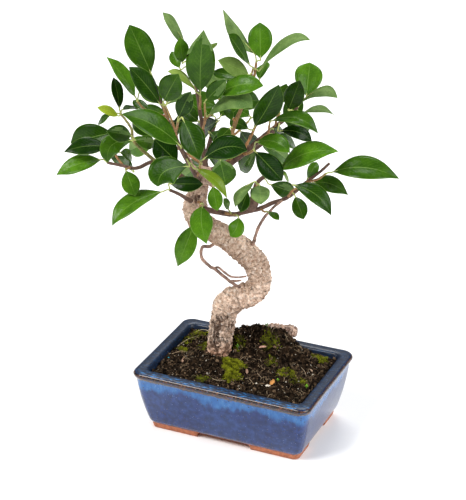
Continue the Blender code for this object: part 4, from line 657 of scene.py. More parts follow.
@cache
def lay_out_tree():
    """Points of all the wood, and where every leaf stands.  It's done once."""
    fine, paths, taken = {}, {}, []
    for name, points, sides, knobs in (("trunk", TRUNK, 12, 0.05), ("aerial_root_left", AERIAL_LEFT, 6, 0.0),
                                       ("aerial_root_right", AERIAL_RIGHT, 6, 0.0)):
        fine[name] = wood_points(points)
        paths[name] = smooth_path(fine[name])
        taken.append((name, ring_tree(coarse_rings(paths[name], sides, grow=CLEAR, knobs=knobs))))
    for name, parent, points in STEMS:
        for shift in STEM_SHIFTS:
            moved = [(across, up, near + shift * i / (len(points) - 1), radius)
                     for i, (across, up, near, radius) in enumerate(points)]
            raw = wood_points(moved, start=paths[parent])
            path = smooth_path(raw)
            probe = ring_tree(coarse_rings(path, 6, grow=0.35 * MM))
            if not any(probe.overlap(tree) for other, tree in taken if other != parent):
                break
        paths[name], fine[name] = path, raw
        sides = 7 if name.startswith(("branch", "leader")) else 5
        taken.append((name, ring_tree(coarse_rings(path, sides))))
    places = []
    for index, item in enumerate(LEAVES):
        scattered = Vector((math.sin(1.7 * index), math.cos(2.3 * index), math.sin(0.9 * index)))
        item["apart"] = scattered * 0.25 * MM
        places.append(place_leaf(item, paths[item["stem"]], taken, item["stem"]))
    return fine, places


# ---- finishes ----
class Graph:
    """A few short words for wiring a node tree."""

    def __init__(self, tree):
        self.tree = tree

    def add(self, kind, **values):
        node = self.tree.nodes.new(kind)
        for key, value in values.items():
            setattr(node, key, value)
        return node

    def wire(self, source, target):
        self.tree.links.new(source, target)

    def put(self, socket, value):
        if isinstance(value, bpy.types.NodeSocket):
            self.wire(value, socket)
        elif socket.type == "RGBA":
            socket.default_value = (*value, 1)
        else:
            socket.default_value = value

    def place(self):
        """Where the point is on the object, in metres."""
        return self.add("ShaderNodeTexCoord").outputs["Object"]

    def part(self, vector):
        """The three numbers of a vector."""
        split = self.add("ShaderNodeSeparateXYZ")
        self.wire(vector, split.inputs[0])
        return split.outputs

    def tones(self):
        """The four channels of the attribute tone."""
        own = self.add("ShaderNodeAttribute", attribute_name="tone").outputs
        split = self.add("ShaderNodeSeparateColor")
        self.wire(own["Color"], split.inputs[0])
        return (*split.outputs, own["Alpha"])

    def own_colour(self):
        return self.add("ShaderNodeAttribute", attribute_name="tone").outputs["Color"]

    def times(self, a, b):
        return self.math("MULTIPLY", a, b)

    def plus(self, a, b, clamp=False):
        return self.math("ADD", a, b, clamp)

    def minus(self, a, b):
        return self.math("SUBTRACT", a, b)

    def math(self, what, a, b=0.0, clamp=False):
        node = self.add("ShaderNodeMath", operation=what, use_clamp=clamp)
        self.put(node.inputs[0], a)
        self.put(node.inputs[1], b)
        return node.outputs[0]

    def blend(self, share, a, b, how="MIX"):
        node = self.add("ShaderNodeMix", data_type="RGBA", blend_type=how)
        node.clamp_factor = True
        self.put(node.inputs[0], share)
        self.put(node.inputs[6], a)
        self.put(node.inputs[7], b)
        return node.outputs[2]

    def step(self, value, low, high):
        """Eases from 0 to 1 as the value goes from low to high."""
        node = self.add("ShaderNodeMapRange", interpolation_type="SMOOTHSTEP")
        for socket, put in zip(node.inputs, (value, low, high)):
            self.put(socket, put)
        return node.outputs[0]

    def noise(self, vector, scale, detail=3.0, rough=0.5, warp=0.0):
        node = self.add("ShaderNodeTexNoise")
        for name, put in (("Vector", vector), ("Scale", scale), ("Detail", detail), ("Roughness", rough),
                          ("Distortion", warp)):
            self.put(node.inputs[name], put)
        return node.outputs[0]

    def cells(self, vector, scale):
        node = self.add("ShaderNodeTexVoronoi", feature="F1")
        self.put(node.inputs["Vector"], vector)
        self.put(node.inputs["Scale"], scale)
        return node.outputs

    def stretch(self, vector, scale):
        node = self.add("ShaderNodeMapping")
        self.put(node.inputs["Vector"], vector)
        node.inputs["Scale"].default_value = scale
        return node.outputs[0]

    def group(self, name, **inputs):
        node = self.add("ShaderNodeGroup")
        node.node_tree = effect(name)
        for key, value in inputs.items():
            self.put(node.inputs[key], value)
        return node.outputs

    def mottle(self, vector, scale, detail, limits, first, second):
        """Colour of soft patches of a second colour in a first."""
        return self.group("Mottle", Vector=vector, Scale=scale, Detail=detail, Low=limits[0], High=limits[1],
                          First=first, Second=second)["Colour"]

    def bump(self, height, strength, distance, normal=None):
        node = self.add("ShaderNodeBump")
        self.put(node.inputs["Height"], height)
        node.inputs["Strength"].default_value = strength
        node.inputs["Distance"].default_value = distance
        if normal is not None:
            self.put(node.inputs["Normal"], normal)
        return node.outputs[0]


def new_effect(name, inputs, outputs):
    """A node group; the value of a socket says its kind: a number, a colour, or None for a vector."""
    tree = bpy.data.node_groups.new(name, "ShaderNodeTree")
    for way, sockets in (("INPUT", inputs), ("OUTPUT", outputs)):
        for label, value in sockets.items():
            kind = "Vector" if value is None else "Color" if isinstance(value, tuple) else "Float"
            socket = tree.interface.new_socket(label, in_out=way, socket_type="NodeSocket" + kind)
            if value is not None:
                socket.default_value = value
    g = Graph(tree)
    return tree, g, g.add("NodeGroupInput").outputs, g.add("NodeGroupOutput").inputs


def effect(name):
    """The shared effects, each built the first time it is asked for."""
    if name in bpy.data.node_groups:
        return bpy.data.node_groups[name]
    if name == "Mottle":            # soft patches of a second colour in a first
        tree, g, i, o = new_effect(name, dict(
            Vector=None, Scale=100, Detail=4, Low=0.4, High=0.6, First=(0.5, 0.5, 0.5, 1), Second=(1, 1, 1, 1)),
            dict(Colour=(0, 0, 0, 1), Mask=0))
        mask = g.step(g.noise(i["Vector"], i["Scale"], i["Detail"], 0.6), i["Low"], i["High"])
        g.wire(g.blend(mask, i["First"], i["Second"]), o["Colour"])
        g.wire(mask, o["Mask"])
    elif name == "Speckle":         # small separate dots
        tree, g, i, o = new_effect(name, dict(Vector=None, Scale=300, Size=0.2, Share=0.3), dict(Mask=0))
        cell = g.cells(i["Vector"], i["Scale"])
        dot = g.math("LESS_THAN", cell["Distance"], i["Size"])
        split = g.add("ShaderNodeSeparateColor")
        g.wire(cell["Color"], split.inputs[0])
        g.wire(g.times(dot, g.math("LESS_THAN", split.outputs[0], i["Share"])), o["Mask"])
    elif name == "Rough Grain":     # height and value of a coarse organic surface
        tree, g, i, o = new_effect(name, dict(Vector=None, Scale=400), dict(Height=0))
        big = g.noise(i["Vector"], i["Scale"], 5, 0.65, 0.4)
        pits = g.cells(i["Vector"], g.times(i["Scale"], 1.6))["Distance"]
        g.wire(g.plus(g.times(big, 0.7), g.times(pits, 0.35)), o["Height"])
    return tree


def finish_of(name, rough=0.5, **sockets):
    """A new material with its Principled shader; sockets with one value all over are set on it."""
    material = bpy.data.materials.new(name)
    material.use_nodes = True
    shader = material.node_tree.nodes["Principled BSDF"]
    shader.inputs["Roughness"].default_value = rough
    for key, value in sockets.items():
        shader.inputs[key.replace("_", " ")].default_value = value
    return material, Graph(material.node_tree), shader.inputs


def glaze_finish(look):
    material, g, bsdf = finish_of("blue_glaze", 0.2, Coat_Roughness=0.14, Coat_IOR=1.55, Specular_IOR_Level=0.25)
    at = g.place()
    lip, band, clay, top = g.tones()
    runs = g.stretch(at, (1, 1, 0.4))
    body = g.mottle(at, 230, 7, (0.3, 0.75), look.glaze_dark, look.glaze_mid)
    broad = g.mottle(at, 38, 3, (0.35, 0.7), (0.62, 0.66, 0.8), (1.15, 1.12, 1.05))
    body = g.blend(1.0, body, broad, "MULTIPLY")
    edge = g.plus(band, g.times(g.minus(g.noise(runs, 55, 5, 0.65), 0.5), 1.9))
    streak = g.step(edge, 0.38, 0.72)
    light = g.mottle(runs, 420, 5, (0.3, 0.8), look.glaze_light, look.glaze_pale)
    colour = g.blend(g.times(g.times(streak, 0.85), g.step(band, 0.02, 0.35)), body, light)
    long_runs = g.stretch(at, (0.3, 1, 1))
    # rim: the glaze's own bright streaks together with painted reflection, mostly on the front rim
    rim = g.mottle(long_runs, 700, 5, (0.47, 0.68), look.rim_dark, look.rim_streaks_and_reflection)
    front = g.step(g.part(at)[1], ORIGIN.y - POT_WIDTH * 0.40, ORIGIN.y - POT_WIDTH * 0.47)
    rim = g.blend(g.plus(g.times(front, 0.75), 0.12), look.rim_dark, rim)
    colour = g.blend(top, colour, rim)
    edge = g.plus(lip, g.times(g.minus(g.noise(at, 160, 5, 0.65), 0.5), 0.9))
    brown = g.mottle(at, 520, 5, (0.44, 0.72), (0.010, 0.008, 0.010), look.lip_brown)
    colour = g.blend(g.step(edge, 0.45, 0.75), colour, brown)
    pits = g.group("Speckle", Vector=at, Scale=420, Size=0.24, Share=0.3)["Mask"]
    colour = g.blend(g.times(pits, 0.8), colour, (0.012, 0.014, 0.03))
    stars = g.group("Speckle", Vector=at, Scale=900, Size=0.22, Share=0.10)["Mask"]
    colour = g.blend(g.times(stars, 0.35), colour, (0.45, 0.55, 0.85))
    baked = g.mottle(at, 300, 6, (0.3, 0.75), look.clay, (0.30, 0.10, 0.05))
    bare = g.step(g.plus(clay, g.times(g.minus(g.noise(at, 120, 3), 0.5), 0.35)), 0.45, 0.55)
    g.wire(g.blend(bare, colour, baked), bsdf["Base Color"])
    dull = g.plus(g.times(g.noise(at, 250, 3), 0.22), 0.1)
    dull = g.plus(dull, g.times(top, 0.22))
    mix = g.plus(g.times(bare, 0.7), dull, clamp=True)
    g.wire(mix, bsdf["Roughness"])
    shine = g.minus(0.46, g.times(top, 0.26))
    g.wire(g.times(g.minus(1.0, bare), shine), bsdf["Coat Weight"])
    skin = g.bump(g.noise(at, 70, 2), 0.25, 0.0012)
    skin = g.bump(g.noise(at, 520, 4, 0.6), 0.18, 0.0004, skin)
    g.wire(g.bump(pits, 0.5, -0.0003, skin), bsdf["Normal"])
    return material


def clay_finish(look):
    material, g, bsdf = finish_of("bare_clay", 0.92)
    at = g.place()
    g.wire(g.mottle(at, 300, 6, (0.3, 0.75), look.clay, (0.30, 0.10, 0.05)), bsdf["Base Color"])
    g.wire(g.bump(g.group("Rough Grain", Vector=at, Scale=900)["Height"], 0.3, 0.0003), bsdf["Normal"])
    return material


def soil_finish(look):
    material, g, bsdf = finish_of("potting_soil", 0.9, Specular_IOR_Level=0.05)
    at = g.place()
    colour = g.mottle(at, 260, 6, (0.42, 0.68), look.soil_dark, look.soil_brown)
    g.wire(g.blend(1.0, colour, g.own_colour(), "MULTIPLY"), bsdf["Base Color"])
    g.wire(g.bump(g.group("Rough Grain", Vector=at, Scale=900)["Height"], 0.7, 0.0008), bsdf["Normal"])
    return material


def screen_finish():
    material, g, bsdf = finish_of("screen_mesh", 0.6)
    at = g.place()
    g.wire(g.mottle(at, 300, 3, (0.3, 0.7), (0.02, 0.05, 0.03), (0.04, 0.10, 0.05)), bsdf["Base Color"])
    g.wire(g.bump(g.noise(at, 900, 2), 0.3, 0.0002), bsdf["Normal"])
    return material


def tinted_finish(name, rough, scale=500.0, contrast=0.35, bump=0.4, depth=0.0003, **sockets):
    """A finish whose colour is the piece's own tone, broken up by fine mottling."""
    material, g, bsdf = finish_of(name, rough, **sockets)
    at = g.place()
    shade = g.mottle(at, scale, 4, (0.3, 0.7), (1 - contrast,) * 3, (1 + contrast * 0.6,) * 3)
    g.wire(g.blend(1.0, g.own_colour(), shade, "MULTIPLY"), bsdf["Base Color"])
    g.wire(g.bump(g.noise(at, scale * 1.7, 4, 0.6), bump, depth), bsdf["Normal"])
    return material


def bark_finish(look):
    material, g, bsdf = finish_of("fig_bark", 0.86, Specular_IOR_Level=0.2)
    at = g.place()
    low, height, scar, lit = g.tones()
    z = g.part(at)[2]
    colour = g.mottle(at, 520, 7, (0.30, 0.60), look.bark_brown, look.bark_pale)
    broad = g.mottle(at, 55, 3, (0.35, 0.7), (0.74, 0.67, 0.60), (1.34, 1.30, 1.24))
    colour = g.blend(1.0, colour, broad, "MULTIPLY")
    fleck = g.step(g.noise(at, 900, 5, 0.7), 0.55, 0.66)
    colour = g.blend(g.times(fleck, 0.66), colour, look.bark_dark)
    base = g.step(z, FOOT.z + 42 * MM, FOOT.z + 8 * MM)
    furrow = g.noise(g.stretch(at, (1, 1, 0.55)), 260, 6, 0.7, 0.6)
    reach = g.minus(0.60, g.times(base, 0.12))
    crack = g.step(furrow, reach, g.plus(reach, 0.07))
    colour = g.blend(g.times(crack, 0.85), colour, look.bark_dark)
    round_about = g.add("ShaderNodeUVMap", uv_map="surface").outputs[0]
    wrinkle = g.step(g.noise(g.stretch(round_about, (5, 150, 1)), 1.0, 5, 0.65, 0.8), 0.56, 0.68)
    wrinkle = g.times(wrinkle, g.minus(1.0, g.times(base, 0.6)))
    colour = g.blend(g.times(wrinkle, 0.5), colour, look.bark_dark)
    pale = g.step(g.noise(at, 360, 6, 0.7), 0.53, 0.64)
    colour = g.blend(g.times(pale, 0.75), colour, (1.0, 0.88, 0.77))
    colour = g.blend(g.times(g.step(low, 0.75, 0.0), 0.45), colour, look.bark_brown)
    colour = g.blend(g.times(height, 0.5), colour, (0.42, 0.22, 0.17))
    foot = g.step(z, FOOT.z + 16 * MM, FOOT.z - 2 * MM)
    colour = g.blend(g.times(foot, 0.8), colour, (0.86, 0.60, 0.47), "MULTIPLY")
    # painted shade: bark that faces down is darkened, standing in for the shadow under the trunk's bends
    below = g.minus(1.0, lit)
    colour = g.blend(g.times(below, 0.9), colour, (0.56, 0.44, 0.36), "MULTIPLY")
    torn = g.noise(g.stretch(at, (1, 1, 0.3)), 520, 5, 0.7, 0.4)
    torn = g.step(g.plus(torn, g.times(scar, 0.14)), 0.53, 0.63)
    torn = g.times(torn, g.step(scar, 0.08, 0.4))
    g.wire(g.blend(g.times(torn, 0.88), colour, (0.075, 0.034, 0.019)), bsdf["Base Color"])
    skin = g.bump(g.group("Rough Grain", Vector=at, Scale=480)["Height"], 1.0, 0.0026)
    skin = g.bump(torn, 0.8, -0.0012, skin)
    skin = g.bump(g.plus(crack, wrinkle), 0.8, -0.0011, skin)
    g.wire(g.bump(g.noise(at, 1500, 4, 0.6), 0.5, 0.0003, skin), bsdf["Normal"])
    return material


def leaf_finish(name, look, under=False):
    rough, level, dark, bright = (0.45, 0.12, look.under_dark_shaded, look.under_pale_lit) if under else (
        0.15, 0.17, look.leaf_dark_shaded, look.leaf_bright_lit)
    material, g, bsdf = finish_of(name, IOR=1.45, Specular_IOR_Level=level)
    at = g.place()
    across, along, _ = g.part(g.add("ShaderNodeUVMap", uv_map="surface").outputs[0])
    off = g.math("ABSOLUTE", g.minus(across, 0.5))
    light, young, *_ = g.tones()
    # dark to bright green by the leaf's lightness: partly its own tone, partly painted shade and light
    colour = g.blend(light, dark, bright)
    patch = g.mottle(at, 110, 3, (0.3, 0.75), (0.66, 0.72, 0.7), (1.3, 1.2, 1.3))
    colour = g.blend(1.0, colour, patch, "MULTIPLY")
    fleck = g.mottle(at, 1300, 3, (0.5, 0.7), (0.86, 0.88, 0.86), (1.35, 1.25, 1.4))
    colour = g.blend(1.0, colour, fleck, "MULTIPLY")
    # side veins leave the midrib at a slant
    wave = g.math("SINE", g.times(g.minus(along, g.times(off, 0.55)), 82.0))
    vein = g.step(wave, 0.72, 1.0)
    fade = g.times(vein, g.step(off, 0.5, 0.05))
    colour = g.blend(g.times(fade, 0.09), colour, look.vein)
    rib = g.step(off, 0.026, 0.006)
    colour = g.blend(g.times(rib, g.minus(0.62, g.times(along, 0.45))), colour, look.vein)
    rim = g.step(off, 0.468, 0.497)
    colour = g.blend(g.times(rim, 0.55), colour, look.vein)
    colour = g.blend(young, colour, look.leaf_young)
    g.wire(colour, bsdf["Base Color"])
    g.wire(g.plus(g.times(g.noise(at, 300, 3), 0.18), rough), bsdf["Roughness"])
    height = g.minus(g.times(fade, -0.5), g.times(rib, 1.0))
    if under:
        height = g.times(height, -1.0)
    skin = g.bump(height, 0.3, 0.0002)
    g.wire(g.bump(g.noise(at, 260, 3), 0.3, 0.0012, skin), bsdf["Normal"])
    return material


@cache
def finishes():
    """Every finish, made once from the colours in the panel."""
    scene = bpy.context.scene
    tree, ground, pot = scene.bonsai_tree, scene.bonsai_ground, scene.bonsai_pot
    return dict(
        glaze=glaze_finish(pot), clay=clay_finish(pot), soil=soil_finish(ground), screen=screen_finish(),
        crumbs=tinted_finish("soil_crumbs", 0.9, 900, 0.4, 0.6, 0.0005, Specular_IOR_Level=0.05),
        fibre=tinted_finish("soil_fibres", 0.85, 700, 0.3, Specular_IOR_Level=0.15),
        perlite=tinted_finish("perlite", 0.8, 1500, 0.25, 0.6, 0.0003),
        moss=tinted_finish("moss", 0.8, 300, 0.5, Specular_IOR_Level=0.1),
        bark=bark_finish(tree), twig=tinted_finish("twig_bark", 0.7, 650, 0.4, 0.6, 0.0003),
        leaf=leaf_finish("leaf_upper", tree), under=leaf_finish("leaf_underside", tree, under=True),
        cut=tinted_finish("cut_wood", 0.8, 900, 0.2), litter=tinted_finish("dry_litter", 0.7, 500, 0.3))


# ---- pot ----
CORNERS = ((1, 1), (-1, 1), (-1, -1), (1, -1))
OUTLINE_SHARES = (0.09, 0.16) * 4       # of every corner and every side, so that outlines stay aligned
POINTS_ROUND_POT = 200


def plan_point(inset, z, share):
    """Point at a share of the way round the pot's rounded outline, drawn in by inset, in the frame."""
    radius = max(CORNER_RADIUS - inset * 0.35, 3 * MM)
    half_x, half_y = POT_LENGTH / 2 - inset - radius, POT_WIDTH / 2 - inset - radius
    walked = 0.0
    for i, weight in enumerate(OUTLINE_SHARES):
        if share <= walked + weight or i == len(OUTLINE_SHARES) - 1:
            break
        walked += weight
    t = (share - walked) / weight
    corner = i // 2
    sx, sy = CORNERS[corner]
    if i % 2 == 0:
        turn = math.pi / 2 * (corner + t)
        return ORIGIN + Vector((sx * half_x + radius * math.cos(turn), sy * half_y + radius * math.sin(turn), z))
    nx, ny = CORNERS[(corner + 1) % 4]
    turn = math.pi / 2 * (corner + 1)
    out = Vector((math.cos(turn), math.sin(turn), 0)) * radius
    a, b = Vector((sx * half_x, sy * half_y, z)) + out, Vector((nx * half_x, ny * half_y, z)) + out
    return ORIGIN + a.lerp(b, t)


def inner_inset(z):
    """How far the pot's inner wall stands in from its widest outline at a height."""
    share = (z - INNER_FLOOR) / (POT_HEIGHT - INNER_FLOOR)
    return (POT_TAPER + WALL) + (RIM_WIDTH - POT_TAPER - WALL) * share


def pot_profile():
    """(inset, height, zones): zones are lip break, light band, bare clay, rim top."""
    body, foot, h = POT_TAPER, FOOT_HEIGHT, POT_HEIGHT
    bare, inside = (0, 0, 1, 0), (0, 0, 0, 1)
    rows = [
        (body + 3.0 * MM, 0, bare), (body + 2.2 * MM, 0.05 * MM, bare),
        (body + 1.7 * MM, 0.5 * MM, bare), (body + 1.3 * MM, foot * 0.5, bare),
        (body + 1.1 * MM, foot * 0.8, bare), (body + 0.9 * MM, foot * 0.95, (0, 0, 0.75, 0)),
        (body + 0.6 * MM, foot + 0.3 * MM, (0.15, 0, 0.3, 0)), (body + 0.1 * MM, foot + 0.9 * MM, (0.1, 0, 0, 0)),
        (body - 0.6 * MM, foot + 1.9 * MM, (0, 0, 0, 0)), (body - 1.2 * MM, foot + 3.4 * MM, (0, 0, 0, 0))]
    top_body = h - 7.4 * MM
    for i in range(1, 13):
        t = i / 12
        z = foot + 3.4 * MM + (top_body - foot - 3.4 * MM) * t
        inset = (body - 1.2 * MM) * (1 - t) + 2.1 * MM * t - 0.9 * MM * math.sin(math.pi * t) ** 0.8
        rows.append((inset, z, (0.4 if i == 12 else 0, max(0.0, (t - 0.52) / 0.48) ** 1.2 * 0.82, 0, 0)))
    rows += [
        (1.75 * MM, h - 6.4 * MM, (0.52, 0.85, 0, 0)), (1.35 * MM, h - 5.5 * MM, (0.72, 0.7, 0, 0)),
        (0.8 * MM, h - 4.7 * MM, (0.85, 0.4, 0, 0)), (0.3 * MM, h - 3.9 * MM, (0.85, 0.2, 0, 0)),
        (0.05 * MM, h - 3.0 * MM, (0.6, 0.2, 0, 0.1)), (0.0, h - 2.2 * MM, (0.75, 0, 0, 0.2)),
        (0.2 * MM, h - 1.5 * MM, (0.95, 0, 0, 0.3)), (0.7 * MM, h - 0.8 * MM, (0.8, 0, 0, 0.5)),
        (1.4 * MM, h - 0.3 * MM, (0.4, 0, 0, 0.9)), (2.4 * MM, h - 0.05 * MM, (0.1, 0, 0, 1)),
        (4.0 * MM, h, inside), (6.0 * MM, h - 0.02 * MM, inside),
        (7.8 * MM, h - 0.1 * MM, inside), (9.0 * MM, h - 0.45 * MM, (0.1, 0, 0, 1)),
        (9.7 * MM, h - 1.2 * MM, (0.2, 0, 0, 1)), (10.1 * MM, h - 2.4 * MM, (0.1, 0, 0, 1)),
        *[(inner_inset(z), z, inside) for z in (h - 5 * MM, h - 12 * MM, h - 24 * MM, INNER_FLOOR + 3 * MM)],
        (POT_TAPER + WALL + 2.2 * MM, INNER_FLOOR, inside)]
    return rows


def cutter(name, bm):
    bmesh.ops.recalc_face_normals(bm, faces=bm.faces)
    return new_object(name, bm)


def carve(piece, tools):
    """Booleans the tools away from the piece, applies the result and deletes the tools."""
    for tool in tools:
        step = piece.modifiers.new("carve", "BOOLEAN")
        step.operation, step.solver, step.object = "DIFFERENCE", "EXACT", tool
    graph = bpy.context.evaluated_depsgraph_get()
    made = bpy.data.meshes.new_from_object(piece.evaluated_get(graph))
    piece.modifiers.clear()
    old, piece.data = piece.data, made
    name = old.name
    bpy.data.meshes.remove(old)
    made.name = name
    for tool in tools:
        bpy.data.objects.remove(tool, do_unlink=True)


def foot_recess():
    inner = POT_TAPER + FOOT_RING
    rows = ((inner, -2 * MM), (inner, FOOT_HEIGHT - 0.6 * MM), (inner + 0.8 * MM, FOOT_HEIGHT + 0.1 * MM))
    bm = bmesh.new()
    sheet(bm, POINTS_ROUND_POT // 2, 2, lambda u, v: plan_point(*rows[round(v * 2)], u), closed=True)
    close_ends(bm)
    return cutter("foot_recess", bm)


def foot_arch(width, along_x):
    """A tunnel with rounded top edges through the foot ring, under the whole pot."""
    bm = bmesh.new()
    bmesh.ops.create_cube(bm, size=1)
    bmesh.ops.scale(bm, vec=(width, POT_LENGTH * 2, FOOT_HEIGHT + 2 * MM), verts=bm.verts)
    bmesh.ops.translate(bm, vec=(0, 0, FOOT_HEIGHT / 2 - 1 * MM), verts=bm.verts)
    top = [e for e in bm.edges
           if all(v.co.z > 0 for v in e.verts) and abs(e.verts[0].co.x - e.verts[1].co.x) < 1e-6]
    bmesh.ops.bevel(bm, geom=top, offset=3.4 * MM, segments=6, profile=0.5, affect="EDGES", material=-1)
    if along_x:
        bmesh.ops.rotate(bm, cent=(0, 0, 0), matrix=Matrix.Rotation(math.pi / 2, 3, "Z"), verts=bm.verts)
    bmesh.ops.translate(bm, vec=ORIGIN, verts=bm.verts)
    return cutter("foot_arch", bm)


def drain_hole(side):
    bm = bmesh.new()
    bmesh.ops.create_cone(bm, cap_ends=True, segments=40, radius1=DRAIN_HOLE / 2, radius2=DRAIN_HOLE / 2,
                          depth=30 * MM)
    bmesh.ops.translate(bm, vec=ORIGIN + Vector((side * DRAIN_SPREAD, 0, 8 * MM)), verts=bm.verts)
    return cutter("drain_hole", bm)


def build_pot():
    rows = pot_profile()
    last = len(rows) - 1
    bm = bmesh.new()

    def shape(u, v):
        inset, z, _ = rows[round(v * last)]
        point = plan_point(inset, z, u)
        if z > FOOT_HEIGHT + 1 * MM:
            point += Vector((soft_noise(point, 45 * MM, 3), soft_noise(point, 45 * MM, 9), 0)) * 0.22 * MM
        if z > POT_HEIGHT - 3 * MM:
            point.z -= (0.12 + 0.22 * abs(soft_noise(point, 30 * MM, 5))) * MM
        return point

    sheet(bm, POINTS_ROUND_POT, last, shape, closed=True, tone=lambda u, v: rows[round(v * last)][2])
    close_ends(bm)
    pot = finish_piece("glazed_pot", bm, ["glaze", "clay"], ["pot"])
    carve(pot, [foot_recess(), foot_arch(FRONT_ARCH, False), foot_arch(SIDE_ARCH, True), drain_hole(-1),
                drain_hole(1)])
    # what the cuts laid bare is unglazed
    low = ORIGIN.z + FOOT_HEIGHT * 0.9
    for polygon in pot.data.polygons:
        if polygon.center.z < low or (polygon.normal.z < -0.7 and polygon.center.z < low + 2 * MM):
            polygon.material_index = 1


def build_screens():
    for name in ("drain_screen_left", "drain_screen_right"):
        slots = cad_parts[name].data.materials
        slots.clear()
        slots.append(finishes()["screen"])


# ---- soil, moss and litter ----
def ground(x, y, share=0.0):
    """Height of the soil above the pot's underside, at a point measured from the pot's middle."""
    mound = math.exp(-((x - MOUND[0]) / (24 * MM)) ** 2 / 2 - ((y - MOUND[1]) / (11 * MM)) ** 2 / 2)
    collar = math.exp(-(((x - FOOT_X) ** 2 + (y - FOOT_Y) ** 2) / (17 * MM) ** 2) / 2)
    lumps = (math.sin(x / (5.3 * MM) + 1.3) * math.cos(y / (4.7 * MM) - 0.4)
             + 0.6 * math.sin((x + y) / (3.9 * MM)) * math.cos((x - 1.7 * y) / (6.1 * MM)))
    ease = 1 - share ** 5
    return SOIL_EDGE + ease * (MOUND_HEIGHT * mound + COLLAR_HEIGHT * collar + 1.0 * MM) + 0.7 * MM * lumps * ease


def wall_share(x, y):
    """0 in the middle of the pot, 1 at the inner wall."""
    inset = inner_inset(SOIL_EDGE) + 0.5 * MM
    return max(abs(x) / (POT_LENGTH / 2 - inset), abs(y) / (POT_WIDTH / 2 - inset))


def rough_ground(x, y):
    """The soil's height with its fine lumps, and the lap of soil that the root stub lies on, in the frame."""
    share = min(1.0, wall_share(x, y))
    point = Vector((x, y, 0))
    fine = (soft_noise(point, 5 * MM, 2) * 1.7 + soft_noise(point, 2.2 * MM, 7) * 1.3) * MM
    lap = 6.5 * MM * math.exp(-((x - 21 * MM) / (10 * MM)) ** 2 - ((y - 33 * MM) / (7 * MM)) ** 2)
    return ORIGIN.z + ground(x, y, share) + lap + fine * (1 - 0.5 * share ** 6)


def on_soil(x, y, lift=0.0):
    """Point above the soil in the frame, from its place measured from the pot's middle."""
    return Vector((ORIGIN.x + x, ORIGIN.y + y, rough_ground(x, y) + lift))


def from_trunk(x, y):
    return (Vector((x, y)) - Vector((FOOT_X, FOOT_Y))).length


def toned(colour, shade):
    return tuple(c * shade for c in colour) + (1,)


def build_soil():
    bm = bmesh.new()
    inset = inner_inset(SOIL_EDGE) + 0.35 * MM

    def shape(u, v):
        rim = plan_point(inset, 0, u) - ORIGIN
        if v > 0.999:
            return ORIGIN + Vector((rim.x, rim.y, SOIL_EDGE - 12 * MM))
        return on_soil(rim.x * v, rim.y * v)

    sheet(bm, *SOIL_CELLS, shape, closed=True, tone=(1, 1, 1, 1))
    bmesh.ops.remove_doubles(bm, verts=bm.verts, dist=1e-6)
    close_ends(bm)
    finish_piece("soil_bed", bm, ["soil"], ["soil"])


def scatter(draw, count, margin):
    """Random points on the soil, margin millimetres from the wall and away from the trunk."""
    made = []
    inset = inner_inset(SOIL_EDGE)
    reach = Vector((POT_LENGTH / 2 - inset - margin * MM, POT_WIDTH / 2 - inset - margin * MM))
    while len(made) < count:
        x, y = draw.uniform(-reach.x, reach.x), draw.uniform(-reach.y, reach.y)
        if from_trunk(x, y) > TRUNK_ROOM:
            made.append((x, y))
    return made


def crumb(bm, draw, centre, size, tone, rounds=1):
    """A small angular lump."""
    layer = tone_layer(bm)
    made = bmesh.ops.create_icosphere(bm, subdivisions=rounds, radius=size)
    axis = Vector((draw.uniform(-1, 1), draw.uniform(-1, 1), draw.uniform(-1, 1)))
    turn = Quaternion(axis.normalized(), draw.uniform(0, 6.3))
    stretch = Vector((draw.uniform(0.7, 1.4), draw.uniform(0.6, 1.2), draw.uniform(0.5, 1.0)))
    for v in made["verts"]:
        bump = 1 + 0.28 * draw.uniform(-1, 1)
        v.co = centre + turn @ Vector([side * wide * bump for side, wide in zip(v.co, stretch)])
        v[layer] = tone


def strand(bm, points, radius, tone, sides=4):
    """A thread along points that thins to about half its radius."""
    last = len(points) - 1
    path = [Vector((*point, radius * (1 - 0.45 * i / last))) for i, point in enumerate(points)]
    rod(bm, smooth_path(path, 2), sides, tone=tone)


# Colours and radii (mm) that crumbs and fibres are drawn from.
CRUMB_SIZES = (0.3, 0.4, 0.5, 0.65, 0.85, 1.2)
CRUMB_TONES = ((0.07, 0.044, 0.026), (0.042, 0.028, 0.017), (0.03, 0.02, 0.013), (0.19, 0.125, 0.075))
FIBRE_TONES = ((0.10, 0.06, 0.032), (0.2, 0.13, 0.075), (0.06, 0.04, 0.026), (0.36, 0.27, 0.17))
PERLITE_TONE = (0.75, 0.68, 0.57)
FIBRE_POINTS = 4


def fibre_points(draw, x, y):
    """A bent line over the soil; shorter than FIBRE_POINTS where it meets the wall."""
    length, heading = draw.uniform(2.0, 7) * MM, draw.uniform(0, 6.3)
    bend = draw.uniform(-1.4, 1.4)
    points = []
    for i in range(FIBRE_POINTS):
        t = i / (FIBRE_POINTS - 1)
        turn = heading + bend * t
        px, py = x + math.cos(turn) * length * (t - 0.5), y + math.sin(turn) * length * (t - 0.5)
        if wall_share(px, py) > 0.97:
            break
        points.append(on_soil(px, py, (0.5 + 1.6 * math.sin(math.pi * t) * draw.random()) * MM))
    return points


